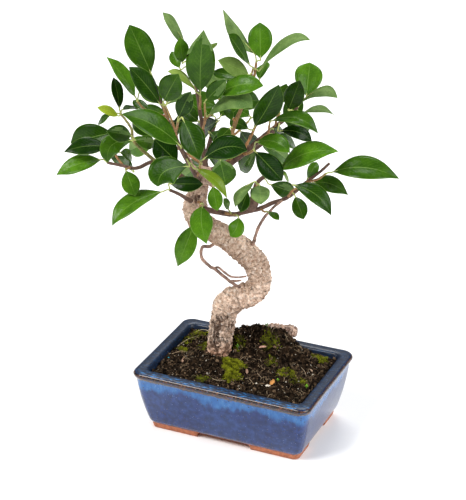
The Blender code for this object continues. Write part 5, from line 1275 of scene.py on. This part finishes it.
def build_soil_detail(look):
    draw = random.Random(11)
    heap = Heap()
    for x, y in scatter(draw, look.crumb_count, 0.9):
        size = draw.choice(CRUMB_SIZES) * draw.uniform(0.8, 1.25) * MM
        shade = draw.uniform(0.15, 1.0) ** 1.8
        tone = toned(draw.choice(CRUMB_TONES), shade)
        crumb(heap.room(), draw, on_soil(x, y, size * 0.4), size, tone)
    finish_piece("soil_crumbs", heap.all(), ["crumbs"], (), turn_out=False)

    heap = Heap()
    for x, y in scatter(draw, look.fibre_count, 2.5):
        points = fibre_points(draw, x, y)
        if len(points) == FIBRE_POINTS:
            shade = draw.uniform(0.25, 1.15)
            tone = toned(draw.choice(FIBRE_TONES), shade)
            strand(heap.room(), points, draw.uniform(0.12, 0.24) * MM, tone)
    finish_piece("soil_fibres", heap.all(), ["fibre"], (), turn_out=False)

    heap = Heap()
    for x, y in scatter(draw, look.perlite_count, 2.0):
        size = draw.uniform(0.28, 0.7) * MM
        shade = draw.uniform(0.5, 1.0)
        crumb(heap.room(), draw, on_soil(x, y, size * 0.7), size, toned(PERLITE_TONE, shade))
    finish_piece("perlite_grains", heap.all(), ["perlite"], (), turn_out=False)


# Moss: middle (x, y) and half sizes from the pot's middle in mm, height, tufts, how bright, CAD pad if any.
MOSS = [
    ("moss_front", (-6, -8), (9.5, 9), 5.5, 760, 1.0, "moss_front"),
    ("moss_front_low", (0, -22), (8, 8.5), 4.2, 520, 0.9, None),
    ("moss_back_left", (-53, 31), (9, 4.5), 2.6, 240, 0.75, "moss_back_left"),
    ("moss_right", (37, 0), (9, 6), 2.6, 260, 0.75, "moss_right"),
    ("moss_corner", (53, 31), (7, 5), 2.8, 200, 0.7, "moss_corner"),
    ("moss_left", (-55, 3), (5, 4), 2.2, 130, 0.95, "moss_left"),
    ("moss_by_trunk_left", (-38, 8), (7, 6), 2.2, 190, 0.6, None),
    ("moss_by_trunk_right", (-10, 13), (5, 5), 2.6, 130, 0.8, None),
    ("moss_ridge", (14, 20), (8, 6), 2.0, 210, 0.7, None),
    ("moss_slope", (20, 8), (6, 4), 1.6, 110, 0.5, None),
    ("moss_far_right", (50, -7), (8, 5), 2.0, 180, 0.65, None),
    ("moss_olive", (-22, -33), (7, 5), 1.6, 150, 0.3, None),
    ("moss_far_left", (-57, 20), (6, 8), 1.6, 170, 0.5, None),
    ("moss_back", (-35, 34), (8, 4), 1.6, 130, 0.55, None),
]


def moss_place(middle, half, reach, turn, number):
    """Point of a pad, from the pot's middle, at a share of the way to its wavy rim."""
    wave = 1 + 0.16 * math.sin(3 * turn + number) + 0.12 * math.sin(5 * turn + 2 * number)
    return (middle[0] * MM + half[0] * MM * reach * wave * math.cos(turn),
            middle[1] * MM + half[1] * MM * reach * wave * math.sin(turn))


def moss_lumps(x, y):
    return soft_noise(Vector((x, y, 0)), 3.2 * MM, 4)


def cushion_rise(x, y, height, reach):
    return height * MM * 0.62 * max(0.0, 1 - reach ** 2.2) * (0.7 + 0.75 * moss_lumps(x, y))


def moss_cushion(bm, middle, half, height, number, tone):
    """The closed pad that the tufts stand on."""
    def shape(u, v):
        reach = 1 - v
        x, y = moss_place(middle, half, 0.86 * reach, FULL_TURN * u, number)
        sink = 1.2 * MM if reach > 0.98 else 0
        return on_soil(x, y, cushion_rise(x, y, height, reach) - sink)

    sheet(bm, 36, 10, shape, closed=True, tone=tone)
    bmesh.ops.remove_doubles(bm, verts=bm.verts, dist=1e-6)
    close_ends(bm)
    bmesh.ops.recalc_face_normals(bm, faces=bm.faces)


def build_moss(look):
    bright, olive = Vector(look.moss_bright), Vector(look.moss_olive)
    for number, (name, middle, half, height, tufts, glow, pad) in enumerate(MOSS):
        draw = random.Random(100 + number)
        heap = Heap()
        moss_cushion(heap.room(), middle, half, height, number, (*(olive * 0.45), 1))
        for _ in range(int(tufts * look.moss_density)):
            turn, reach = draw.uniform(0, 6.283), math.sqrt(draw.random())
            x, y = moss_place(middle, half, reach, turn, number)
            if wall_share(x, y) > AT_WALL or from_trunk(x, y) < TRUNK_ROOM + 0.2 * MM:
                continue
            root = on_soil(x, y, cushion_rise(x, y, height, reach) - 0.3 * MM)
            # painted shade: tufts in the low parts of the cushion are darkened
            hollow = 0.35 + 0.65 * min(1.0, max(0.0, 0.5 + 1.4 * moss_lumps(x, y)))
            tone = olive.lerp(bright, min(1.0, glow * draw.uniform(0.5, 1.2))) * draw.uniform(0.5, 1.25) * hollow
            long = draw.uniform(0.9, 2.0) * MM * (0.7 + 0.5 * glow)
            room = heap.room()
            for _ in range(5):
                way, lean = draw.uniform(0, 6.283), draw.uniform(0.15, 0.75)
                axis = Vector((math.cos(way) * lean, math.sin(way) * lean, 1 - 0.35 * lean)) * long
                spike(room, root, axis, 0.2 * MM, tone)
        finish_piece(name + "_tufts", heap.all(), ["moss"], [pad] if pad else (), turn_out=False)


def spike(bm, root, axis, radius, tone):
    """A thin three-sided blade, paler at its tip."""
    layer = tone_layer(bm)
    made = bmesh.ops.create_cone(bm, cap_ends=True, segments=3, radius1=radius, radius2=radius * 0.12, depth=1.0)
    turn_to = UP.rotation_difference(axis.normalized())
    for v in made["verts"]:
        share = v.co.z + 0.5
        v.co = root + axis * share + turn_to @ Vector((v.co.x, v.co.y, 0))
        v[layer] = toned(tone, 0.5 + 0.7 * share)


# Loose things on the soil, in mm from the pot's middle.
# Leaf scraps and bark chips: place, length and width, colour, heading, tilt.
SCRAPS = [
    ((32.6, -20.2), (5.2, 3.4), (0.62, 0.27, 0.06), 1.2, 0.9), ((10, 14), (6.0, 2.4), (0.42, 0.24, 0.17), 0.2, 0.35),
    ((8, -13), (5.5, 2.2), (0.26, 0.15, 0.10), 2.0, 0.3), ((-30, 24), (5, 2.4), (0.2, 0.12, 0.08), 0.6, 0.3),
    ((52, 12), (5, 2.0), (0.3, 0.2, 0.13), 2.6, 0.3), ((-46, -16), (4.5, 2.0), (0.24, 0.14, 0.09), 1.7, 0.3)]
# Grains: place, radius, colour.
GRAINS = [((30.5, -24), 1.5, (0.8, 0.72, 0.62)), ((-60, -13), 0.8, (0.02, 0.36, 0.5))]
# Straws: points, height of each above the soil, radius, colour.
STRAWS = [
    (((-58, 33), (-53, 34), (-45, 30), (-40, 24)), (1.0, 3.2, 3.4, 0.8), 0.28, (0.62, 0.52, 0.34)),
    (((-62, 8), (-57, 17), (-52, 27)), (0.8, 2.6, 1.8), 0.24, (0.55, 0.45, 0.28)),
    (((-60, -7), (-54, -2), (-48, 0)), (0.8, 2.0, 0.9), 0.2, (0.5, 0.36, 0.22)),
    (((6, -24), (13, -20), (18, -24), (25, -22)), (0.8, 1.5, 1.3, 0.7), 0.22, (0.45, 0.34, 0.22)),
    (((14, -6), (17, -12), (22, -15)), (0.8, 1.6, 0.8), 0.22, (0.36, 0.26, 0.17)),
    (((-14, -30), (-8, -33), (-2, -31)), (0.8, 1.4, 0.8), 0.2, (0.5, 0.4, 0.26)),
    (((40, 14), (47, 10), (52, 3)), (0.8, 1.6, 0.8), 0.2, (0.4, 0.3, 0.2))]
# Seedlings: place, height, colour.
SEEDLINGS = [((59, -14), 4.2, (0.2, 0.45, 0.03)), ((8, 27), 4.0, (0.28, 0.42, 0.22)),
             ((-10, 10), 4.5, (0.16, 0.32, 0.04)), ((34, -12), 3.0, (0.14, 0.28, 0.03))]
SEEDLING_LEAVES = 7


def lie(place, lift):
    """Point above the soil, from a place and a lift in millimetres."""
    return on_soil(place[0] * MM, place[1] * MM, lift * MM)


def thin_blade(bm, across, along, shape, colour, thickness):
    faces = sheet(bm, across, along, shape, tone=(*colour, 1))
    bmesh.ops.solidify(bm, geom=faces, thickness=thickness)


def build_scraps():
    """Dry leaf scrap, bark chips, grains and straws lying on the soil."""
    draw = random.Random(5)
    bm = bmesh.new()
    for place, (length, width), colour, heading, tilt in SCRAPS:
        centre = lie(place, 1.2 + width * 0.45 * tilt)
        along = Vector((math.cos(heading), math.sin(heading), 0.25))
        across = Vector((-math.sin(heading), math.cos(heading), 0)) * math.cos(tilt) + UP * math.sin(tilt)

        def shape(u, v):
            wide = math.sin(math.pi * (0.08 + 0.84 * v)) * (1 + 0.2 * math.sin(9 * v))
            curl = 0.5 * math.sin(math.pi * v) + 0.6 * (u - 0.5) ** 2 * 2
            return (centre + along * (v - 0.5) * length * MM + across * (u - 0.5) * width * MM * wide
                    + along.cross(across) * curl * MM)
        thin_blade(bm, 6, 9, shape, colour, 0.22 * MM)
    for place, size, colour in GRAINS:
        crumb(bm, draw, lie(place, size * 0.5), size * MM, (*colour, 1), rounds=2)
    for places, lifts, radius, colour in STRAWS:
        strand(bm, [lie(place, lift) for place, lift in zip(places, lifts)], radius * MM, (*colour, 1), sides=6)
    finish_piece("soil_litter", bm, ["litter"], ())


def build_seedlings():
    bm = bmesh.new()
    for place, tall, colour in SEEDLINGS:
        root = lie(place, 0.2)
        for k in range(SEEDLING_LEAVES):
            way = 2.4 * k + place[0]
            rise = tall * (0.5 + 0.5 * k / (SEEDLING_LEAVES - 1)) * MM
            tip = root + Vector((math.cos(way) * 1.5 * MM, math.sin(way) * 1.5 * MM, rise))
            stem = root + UP * rise * 0.75
            strand(bm, [root, (root + stem) / 2, stem], 0.14 * MM, (*colour, 1))
            across = (tip - stem).cross(UP).normalized() * 0.6 * MM

            def shape(u, v):
                return stem.lerp(tip, v) + across * (2 * u - 1) * math.sin(math.pi * (0.1 + 0.85 * v))
            thin_blade(bm, 2, 4, shape, colour, 0.15 * MM)
    finish_piece("seedlings", bm, ["moss"], ())


# ---- tree ----
# On the trunk, as (across, up, near): knobs (place, width, height), dark splits (place, width), a scar.
KNOBS = [((3.3, 52.5, 8), 3.2, 2.4), ((-24, 131, -3), 5, 0.8), ((33, 87, 6), 3, 0.9), ((22, 96, 5), 4, 1.1),
         ((39, 66, 5), 2.6, 1.0), ((-9.5, 12, 6), 5, 1.1), ((-8.5, 24, 5), 4.5, 0.9)]
SPLITS = [((-4.5, 7, 9), 4.4), ((-4.2, 14, 9), 5.2), ((-3.0, 21, 9), 5.6), ((0, 27, 9), 5.4), ((5, 31, 8), 4.4),
          ((9, 23, 7), 4.0)]
SCAR = (-17, 131.5, 8)
SMOOTHER_ABOVE = (-16, 118, 0)
TRUNK_SIDES = 110


def bark_ridge(point):
    return abs(soft_noise(point, 4.5 * MM, 1))


def bark_relief(point):
    return (soft_noise(point, 13 * MM, 2) * 1.3 + (0.32 - bark_ridge(point)) * 2.5
            + soft_noise(point, 2.2 * MM, 3) * 1.5 + soft_noise(point, 1.1 * MM, 6) * 0.8) * MM - 0.35 * MM


def close_to(point, place, width, power=2):
    """1 at a place of the drawing, fading to 0 over a width in millimetres."""
    return math.exp(-((point - place).length / (width * MM)) ** power)


def build_trunk(paths):
    bm = bmesh.new()
    path = smooth_path(paths["trunk"], 14)
    rings = frames_along(path)
    knobs = [(spot(*place), width, height) for place, width, height in KNOBS]
    splits = [(spot(*place), width) for place, width in SPLITS]
    scar, smooth_from = spot(*SCAR), spot(*SMOOTHER_ABOVE).z

    def relief(point, share):
        extra = sum(height * close_to(point, place, width) for place, width, height in knobs)
        hollow = 1.1 * close_to(point, scar, 4.5) + sum(0.22 * close_to(point, *split) for split in splits)
        return bark_relief(point) * (1 - 0.4 * share) + (extra - hollow) * MM

    def tone(u, v):
        """Ridges, height, splits and scar, and how far the bark faces down, which drives painted shade on the bark's
        underside.
        """
        ring = rings[min(int(v * (len(rings) - 1)), len(rings) - 2)]
        out = around(ring, FULL_TURN * u)
        point = ring[0] + out * ring[1]
        height = max(0.0, min(1.0, (point.z - smooth_from) / (30 * MM)))
        split = max(close_to(point, *split) for split in splits)
        ridge = max(0.0, min(1.0, 1.0 - bark_ridge(point) * 1.5))
        return ridge, height, max(close_to(point, scar, 4.2, 4), split * 0.8), 1 - max(0.0, -out.z)

    rod(bm, path, TRUNK_SIDES, relief=relief, tone=tone, dome=0.3)
    for points in CUT_SHOOTS:
        rod(bm, smooth_path(wood_points(points), 6), 24, tone=(0.7, 0.8, 0, 1), dome=0.2,
            relief=lambda point, _: bark_relief(point) * 0.35)
    finish_piece("trunk_bark", bm, ["bark"], ["trunk"])


def build_roots(paths):
    def relief(point, _):
        return (soft_noise(point, 3.2 * MM, 4) * 0.28 + soft_noise(point, 1.1 * MM, 5) * 0.12) * MM

    def tone(_, v):
        return toned((0.40, 0.245, 0.185), 0.8 + 0.35 * math.sin(v * 31) * math.sin(v * 12))

    for name, extra in (("aerial_root_left", AERIAL_FORK), ("aerial_root_right", None)):
        bm = bmesh.new()
        rod(bm, smooth_path(paths[name], 8), 14, relief=relief, tone=tone)
        if extra:
            rod(bm, smooth_path(wood_points(extra), 8), 12, relief=relief, tone=tone)
            rod(bm, smooth_path(wood_points(BROKEN_END), 6), 12, relief=relief, tone=tone, dome=0.2)
        finish_piece(name + "_bark", bm, ["twig"], [name])

    bm = bmesh.new()
    rod(bm, smooth_path(wood_points(ROOT_STUB), 10), 48, dome=0.55,
        relief=lambda point, share: (0.34 * math.sin(share * 52) + soft_noise(point, 3 * MM, 8) * 0.5) * MM,
        tone=lambda _, v: (0.75 + 0.25 * math.sin(v * 52), 0.6, 0, 1))
    finish_piece("root_stub_bark", bm, ["bark"], ["root_stub"])


# Outline of a blade: share of the full width along its length, for pointed and for blunt leaves.
BLADE_CELLS = (8, 22)       # across and along
BLADE_THICKNESS = 0.3 * MM
USUAL_BREADTH = 1.1         # of the drawn width
POINTED = [0.03, 0.27, 0.52, 0.72, 0.86, 0.95, 0.995, 1.0, 0.97, 0.90, 0.78, 0.62, 0.40, 0.20, 0.0]
BLUNT = [0.03, 0.24, 0.47, 0.66, 0.80, 0.90, 0.97, 1.0, 0.995, 0.96, 0.89, 0.77, 0.58, 0.31, 0.0]


# How single leaves differ, by their place in LEAVES: dark and bright ones, whose lightness is partly painted shade and
# light, dull ones showing a matt side, new yellow-green ones, pointed ones, and those broader than the rest.
DARK_AND_SHADED = {1, 2, 5, 13, 15, 22, 23, 27, 28, 37, 39, 51, 56, 61, 62, 64, 65, 72, 74, 77, 82, 86, 89, 90, 92, 95, 97, 98, 99,
        100, 111}
BRIGHT_AND_LIT = {9, 10, 16, 17, 18, 19, 31, 43, 46, 48, 57, 68, 79, 80, 91, 78, 0, 25, 32}
DULL = {45, 49, 59, 47, 105, 75, 66}
NEW_GROWTH = {4: 0.85, 35: 0.3, 20: 0.25, 26: 0.25, 78: 0.2, 34: 0.15, 47: 0.12}
SLIM_TIPS = {0, 1, 12, 16, 17, 18, 20, 23, 25, 30, 33, 42, 45, 60, 68, 69, 71, 72}
BROAD = {24: 1.3, 57: 1.24, 10: 1.2, 80: 1.2, 43: 1.15, 2: 1.25, 31: 1.2, 36: 1.25, 14: 1.2, 51: 1.2, 56: 1.15,
         33: 1.12}


def outline_at(table, t):
    """A blade's share of its full width at a share of its length."""
    place = t * (len(table) - 1)
    i = min(int(place), len(table) - 2)
    share = place - i
    return table[i] * (1 - share) + table[i + 1] * share


def leaf_tone(number, draw):
    """Lightness (partly painted light and shade), share of new growth and a chance number of a leaf."""
    light = 0.05 if number in DARK_AND_SHADED else 0.6 if number in BRIGHT_AND_LIT else 0.32
    return min(1.0, max(0.0, light + draw.uniform(-0.14, 0.14))), NEW_GROWTH.get(number, 0.0), draw.random(), 1


def grow_leaf(bm, item, placed, number):
    """Petiole and blade of one leaf: material 1 above, 2 below, 3 for the petiole."""
    start, base, tip, via, more_turn = placed
    width, face, at = leaf_lines(item, base, tip, via, more_turn)
    width *= BROAD.get(number, USUAL_BREADTH)
    draw = random.Random(900 + number)
    tone = leaf_tone(number, draw)
    table = POINTED if number in SLIM_TIPS else BLUNT
    ripple, phase = draw.uniform(0.15, 0.5) * MM, draw.uniform(0, 6.3)
    fold = LEAF_FOLD * draw.uniform(0.5, 1.1)

    def frame_at(t):
        d = (at(min(t + 0.03, 1.0)) - at(max(t - 0.03, 0.0))).normalized()
        return across_blade(face, d)

    def shape(u, v):
        n, s = frame_at(v)
        half = width / 2 * outline_at(table, v)
        off = 2 * u - 1
        lift = abs(off) ** 1.3 * half * math.sin(fold) - off ** 4 * half * 0.12
        wave = ripple * off ** 2 * math.sin(9 * v + phase + (1.3 if off > 0 else 0)) * math.sin(math.pi * v)
        return at(v) + s * off * half * math.cos(fold) + n * (lift + wave)

    faces = sheet(bm, *BLADE_CELLS, shape, tag=1, tone=tone)
    made = bmesh.ops.solidify(bm, geom=faces, thickness=BLADE_THICKNESS)
    uv_layer = bm.loops.layers.uv["surface"]
    layer = bm.verts.layers.float_color["tone"]
    added = [g for g in made["geom"] if isinstance(g, bmesh.types.BMFace) and g not in set(faces)]
    bm.normal_update()

    def mean_uv(f):
        return [sum(loop[uv_layer].uv[k] for loop in f.loops) / len(f.loops) for k in (0, 1)]

    def upward(f):
        return frame_at(mean_uv(f)[1])[0]

    above = sum((f.calc_center_median() - shape(*mean_uv(f))).dot(upward(f)) for f in added)
    upper, lower = (added, faces) if above > 0 else (faces, added)
    if sum(f.normal.dot(upward(f)) * f.calc_area() for f in upper) < 0:
        bmesh.ops.reverse_faces(bm, faces=[*faces, *added])
    top, bottom = (2, 1) if number in DULL else (1, 2)
    for group, tag in ((upper, top), (lower, bottom)):
        for f in group:
            f.smooth = True
            f.material_index = tag if abs(f.normal.dot(upward(f))) > 0.3 else 2
            for vert in f.verts:
                vert[layer] = tone
    swell, middle = petiole_bend(at, start, base, tip)
    n0, _ = frame_at(0.05)
    inside = at(0.12) - n0 * 0.45 * MM
    thick = 0.6 * MM
    path = [(*start, thick * 1.3), (*start.lerp(middle, 0.4), thick), (*middle, thick * 0.9), (*swell, thick * 0.9),
            (*(base - n0 * 0.2 * MM), thick * 0.95), (*inside, thick * 0.6), (*(at(0.3) - n0 * 0.3 * MM), thick * 0.28)]
    green = Vector(bpy.context.scene.bonsai_tree.petiole) * draw.uniform(0.75, 1.1)
    rod(bm, smooth_path(path, 3), 8, tag=3, tone=(*green, 1))


# Stems whose end is a clean cut, and reddish or green young wood.
CUT_ENDS = {"branch_right_low", "branch_right_mid", "twig_right_up"}
YOUNG_WOOD = {"twig_left_top": (0.30, 0.12, 0.055), "twig_mid_right": (0.34, 0.17, 0.06),
              "twig_right_up": (0.40, 0.19, 0.07), "branch_top_right": (0.28, 0.16, 0.06),
              "branch_left_up": (0.22, 0.2, 0.06)}


def stem_skin(bm, name, path, old, look):
    """The bark of a branch or twig; its cut end, where it has one, is material 4."""
    # branches take the branch bark colour, which is darkened as painted shade over its own brown
    own = Vector(YOUNG_WOOD.get(name, look.branch_bark_and_shade if old else look.twig_young))
    green = Vector(look.petiole) * 0.8
    cut = name in CUT_ENDS

    def relief(point, share):
        joints = 0.16 * max(0.0, math.sin(share * (34 if old else 22))) ** 6
        return (joints + soft_noise(point, 2.4 * MM, 3) * 0.22 + soft_noise(point, 0.9 * MM, 5) * 0.1) * MM

    def tone(_, v):
        colour = own if old else own.lerp(green, max(0.0, v - 0.55) * 0.9)
        return toned(colour, 0.85 + 0.3 * abs(math.sin(v * 17)))

    rod(bm, path, 16 if old else 12, relief=relief, tone=tone, dome=0.12 if cut else 0.4, cap_tag=4 if cut else None)


def build_shoots(paths, places):
    look = bpy.context.scene.bonsai_tree
    for name, *_ in STEMS:
        heap = Heap()
        old = name.startswith(("branch", "leader"))
        stem_skin(heap.room(), name, smooth_path(paths[name], 7 if old else 6), old, look)
        for number, (item, placed) in enumerate(zip(LEAVES, places)):
            if item["stem"] == name and placed:
                grow_leaf(heap.room(), item, placed, number)
        finish_piece(name + "_leafy", heap.all(), ["twig", "leaf", "under", "twig", "cut"], [name],
                     turn_out=False)


# ---- studio ----
# Lights: name, turn about x and z in degrees, how wide it looks in degrees, tint.
LIGHTS = [("key_light", 42, -40, 26, (1.0, 0.985, 0.955)), ("fill_light", 50, 80, 40, (0.98, 0.985, 1.0)),
          ("back_light", 36, 200, 30, (1.0, 1.0, 0.99))]
AIR_TINT = (0.97, 0.985, 1.0, 1)
UNDER_FEET = 0.0002


def build_floor(look):
    bm = bmesh.new()
    bmesh.ops.create_grid(bm, x_segments=2, y_segments=2, size=look.floor_size / 2)
    bmesh.ops.translate(bm, vec=(0, 0, POT_LOW.z - UNDER_FEET), verts=bm.verts)
    floor = new_object("studio_floor", bm)
    material, g, bsdf = finish_of("studio_paper", 0.95, Specular_IOR_Level=0.1)
    pale = look.floor_colour
    g.wire(g.mottle(g.place(), 6, 2, (0.2, 0.8), [c * 0.995 for c in pale], pale), bsdf["Base Color"])
    floor.data.materials.append(material)


def build_light(look):
    world = bpy.data.worlds.new("studio_air")
    bpy.context.scene.world = world
    world.use_nodes = True
    air = world.node_tree.nodes["Background"].inputs
    air["Color"].default_value = AIR_TINT
    g = Graph(world.node_tree)
    # the eye sees white; the tree gets the weaker light
    seen = g.add("ShaderNodeLightPath").outputs["Is Camera Ray"]
    g.wire(g.math("MAXIMUM", seen, look.air_light), air["Strength"])
    for name, tip, turn, spread, tint in LIGHTS:
        lamp = bpy.data.lights.new(name, "SUN")
        lamp.energy, lamp.angle, lamp.color = getattr(look, name), math.radians(spread), tint
        light = bpy.data.objects.new(name, lamp)
        light.rotation_euler = (math.radians(tip), 0, math.radians(turn))
        bpy.context.scene.collection.objects.link(light)


def build_camera(look):
    rise = (UP - EYE * UP.dot(EYE)).normalized()
    camera = bpy.data.objects.new("camera", bpy.data.cameras.new("camera"))
    place = ORIGIN + EYE * look.camera_distance + RIGHT * look.camera_across + rise * look.camera_up
    camera.matrix_world = Matrix.Translation(place) @ Matrix((RIGHT, rise, EYE)).transposed().to_4x4()
    camera.data.lens, camera.data.sensor_width = look.camera_lens, 36
    camera.data.clip_end = 50
    bpy.context.scene.collection.objects.link(camera)
    bpy.context.scene.camera = camera
    view = bpy.context.scene.view_settings
    view.view_transform, view.look, view.exposure = "Standard", "None", look.exposure


# ---- add-on ----
def colour_prop(name, description, value):
    return bpy.props.FloatVectorProperty(name=name, description=description, default=value, subtype="COLOR",
                                         size=3, min=0, max=1)


def amount_prop(name, description, value, **more):
    return bpy.props.FloatProperty(name=name, description=description, default=value, **more)


def count_prop(name, description, value):
    return bpy.props.IntProperty(name=name, description=description, default=value, min=0)


class BonsaiPotSettings(bpy.types.PropertyGroup):
    """Colours of the pot"""
    glaze_dark: colour_prop("Glaze, dark", "Deepest blue of the glazed body", (0.005, 0.022, 0.095))
    glaze_mid: colour_prop("Glaze, mid", "Violet-blue bloom over the glazed body", (0.020, 0.056, 0.22))
    glaze_light: colour_prop("Glaze run", "Light runs under the lip", (0.014, 0.115, 0.37))
    glaze_pale: colour_prop("Glaze run, pale", "Palest streaks in the runs", (0.045, 0.19, 0.45))
    rim_dark: colour_prop("Rim", "Dark glaze pooled on the rim", (0.006, 0.012, 0.030))
    # rim streaks: glaze streaks and painted reflection
    rim_streaks_and_reflection: colour_prop("Rim streaks", "Bright streaks on the rim", (0.03, 0.23, 0.6))
    lip_brown: colour_prop("Lip", "Where the glaze breaks thin over the lip", (0.17, 0.062, 0.026))
    clay: colour_prop("Clay", "Bare fired clay of the feet", (0.56, 0.20, 0.10))


class BonsaiGroundSettings(bpy.types.PropertyGroup):
    """Soil and moss"""
    soil_dark: colour_prop("Soil, dark", "Moist hollows of the soil", (0.004, 0.0022, 0.0010))
    soil_brown: colour_prop("Soil, brown", "Drier brown soil", (0.036, 0.021, 0.011))
    moss_bright: colour_prop("Moss, bright", "Fresh yellow-green moss", (0.44, 0.47, 0.028))
    moss_olive: colour_prop("Moss, olive", "Older, olive moss", (0.15, 0.17, 0.012))
    crumb_count: count_prop("Crumbs", "Soil crumbs on the surface", 6500)
    moss_density: amount_prop("Moss density", "Tufts against the usual number", 1.0, min=0, subtype="FACTOR")
    fibre_count: count_prop("Fibres", "Peat fibres on the surface", 850)
    perlite_count: count_prop("Perlite", "White grains in the soil", 210)


class BonsaiTreeSettings(bpy.types.PropertyGroup):
    """Colours of the tree"""
    bark_pale: colour_prop("Bark, pale", "Pale faces of the bark", (0.96, 0.77, 0.65))
    bark_brown: colour_prop("Bark, brown", "Brown between the pale faces", (0.50, 0.325, 0.23))
    bark_dark: colour_prop("Bark, cracks", "Cracks and pits of the bark", (0.07, 0.038, 0.02))
    # branch bark: its own brown, darkened as painted shade
    branch_bark_and_shade: colour_prop("Branch", "Bark of the branches", (0.125, 0.066, 0.045))
    twig_young: colour_prop("Twig", "Bark of the twigs", (0.34, 0.17, 0.065))
    petiole: colour_prop("Leaf stalk", "Yellow-green leaf stalks", (0.48, 0.54, 0.16))
    # leaf greens, upper side and underside: from dark to bright is partly the leaves' own older and fresher greens,
    # partly painted shade and light
    leaf_dark_shaded: colour_prop("Leaf, dark", "Older leaves, upper side", (0.006, 0.031, 0.0008))
    leaf_bright_lit: colour_prop("Leaf, bright", "Fresh leaves, upper side", (0.098, 0.26, 0.010))
    leaf_young: colour_prop("Leaf, young", "New yellow-green leaves", (0.36, 0.46, 0.03))
    under_dark_shaded: colour_prop("Underside, dark", "Older leaves, underside", (0.08, 0.16, 0.03))
    under_pale_lit: colour_prop("Underside, pale", "Fresh leaves, underside", (0.24, 0.36, 0.12))
    vein: colour_prop("Vein", "Midrib, side veins and margin", (0.20, 0.34, 0.06))


class BonsaiStageSettings(bpy.types.PropertyGroup):
    """Floor, light and camera"""
    floor_size: amount_prop("Floor", "Side of the floor", 40, unit="LENGTH")
    floor_colour: colour_prop("Floor colour", "Plain pale floor", (0.96, 0.96, 0.965))
    air_light: amount_prop("Room light", "Light from all round", 0.17)
    key_light: amount_prop("Key light", "Soft light from the front left", 2.6)
    fill_light: amount_prop("Fill light", "Softer light from the right", 2.5)
    back_light: amount_prop("Back light", "Soft light from behind", 1.5)
    exposure: amount_prop("Exposure", "Exposure in stops", 0.0)
    camera_distance: amount_prop("Camera distance", "From the pot's underside", 1.386, unit="LENGTH")
    camera_across: amount_prop("Camera across", "Sideways from the pot's middle", -0.00868, unit="LENGTH")
    camera_up: amount_prop("Camera up", "Up from the pot's underside, square to the view", 0.13603, unit="LENGTH")
    camera_lens: amount_prop("Lens", "Focal length", 124.06, unit="CAMERA")


class BONSAI_OT_pot(bpy.types.Operator):
    """Model the glazed pot on its clay feet"""
    bl_idname = "bonsai.pot"
    bl_label = "Glazed Pot"

    def execute(self, context):
        build_pot()
        return {"FINISHED"}


class BONSAI_OT_screens(bpy.types.Operator):
    """Give the drain screens their plastic finish"""
    bl_idname = "bonsai.screens"
    bl_label = "Drain Screens"

    def execute(self, context):
        build_screens()
        return {"FINISHED"}


class BONSAI_OT_soil(bpy.types.Operator):
    """Model the soil with its crumbs, fibres and perlite"""
    bl_idname = "bonsai.soil"
    bl_label = "Soil"

    def execute(self, context):
        build_soil()
        build_soil_detail(context.scene.bonsai_ground)
        return {"FINISHED"}


class BONSAI_OT_moss(bpy.types.Operator):
    """Grow the moss cushions"""
    bl_idname = "bonsai.moss"
    bl_label = "Moss"

    def execute(self, context):
        build_moss(context.scene.bonsai_ground)
        return {"FINISHED"}


class BONSAI_OT_litter(bpy.types.Operator):
    """Lay dry scraps, straws and seedlings on the soil"""
    bl_idname = "bonsai.litter"
    bl_label = "Litter"

    def execute(self, context):
        build_scraps()
        build_seedlings()
        return {"FINISHED"}


class BONSAI_OT_trunk(bpy.types.Operator):
    """Model the trunk's bark"""
    bl_idname = "bonsai.trunk"
    bl_label = "Trunk"

    def execute(self, context):
        build_trunk(lay_out_tree()[0])
        return {"FINISHED"}


class BONSAI_OT_roots(bpy.types.Operator):
    """Model the aerial roots and the root stub"""
    bl_idname = "bonsai.roots"
    bl_label = "Roots"

    def execute(self, context):
        build_roots(lay_out_tree()[0])
        return {"FINISHED"}


class BONSAI_OT_shoots(bpy.types.Operator):
    """Model every branch and twig with its leaves"""
    bl_idname = "bonsai.shoots"
    bl_label = "Shoots and Leaves"

    def execute(self, context):
        build_shoots(*lay_out_tree())
        return {"FINISHED"}


class BONSAI_OT_stage(bpy.types.Operator):
    """Set up the floor, the light and the camera"""
    bl_idname = "bonsai.stage"
    bl_label = "Studio"

    def execute(self, context):
        for build in (build_floor, build_light, build_camera):
            build(context.scene.bonsai_stage)
        return {"FINISHED"}


STEPS = (BONSAI_OT_pot, BONSAI_OT_screens, BONSAI_OT_soil, BONSAI_OT_moss, BONSAI_OT_litter, BONSAI_OT_trunk,
         BONSAI_OT_roots, BONSAI_OT_shoots, BONSAI_OT_stage)
GROUPS = (("bonsai_pot", BonsaiPotSettings), ("bonsai_ground", BonsaiGroundSettings),
          ("bonsai_tree", BonsaiTreeSettings), ("bonsai_stage", BonsaiStageSettings))


class BONSAI_PT_panel(bpy.types.Panel):
    """Steps and settings of the bonsai"""
    bl_label = "Bonsai"
    bl_idname = "BONSAI_PT_panel"
    bl_space_type = "VIEW_3D"
    bl_region_type = "UI"
    bl_category = "Bonsai"

    def draw(self, context):
        for step in STEPS:
            self.layout.operator(step.bl_idname)
        for key, group in GROUPS:
            box = self.layout.box()
            for name in group.__annotations__:
                box.prop(getattr(context.scene, key), name)


def register():
    for _, group in GROUPS:
        bpy.utils.register_class(group)
    for step in STEPS:
        bpy.utils.register_class(step)
    bpy.utils.register_class(BONSAI_PT_panel)
    for key, group in GROUPS:
        setattr(bpy.types.Scene, key, bpy.props.PointerProperty(type=group))


def unregister():
    for key, group in GROUPS:
        delattr(bpy.types.Scene, key)
        bpy.utils.unregister_class(group)
    for step in (BONSAI_PT_panel, *reversed(STEPS)):
        bpy.utils.unregister_class(step)


def main():
    register()
    for step in STEPS:
        family, name = step.bl_idname.split(".")
        getattr(getattr(bpy.ops, family), name)()


if __name__ == "__main__":
    main()
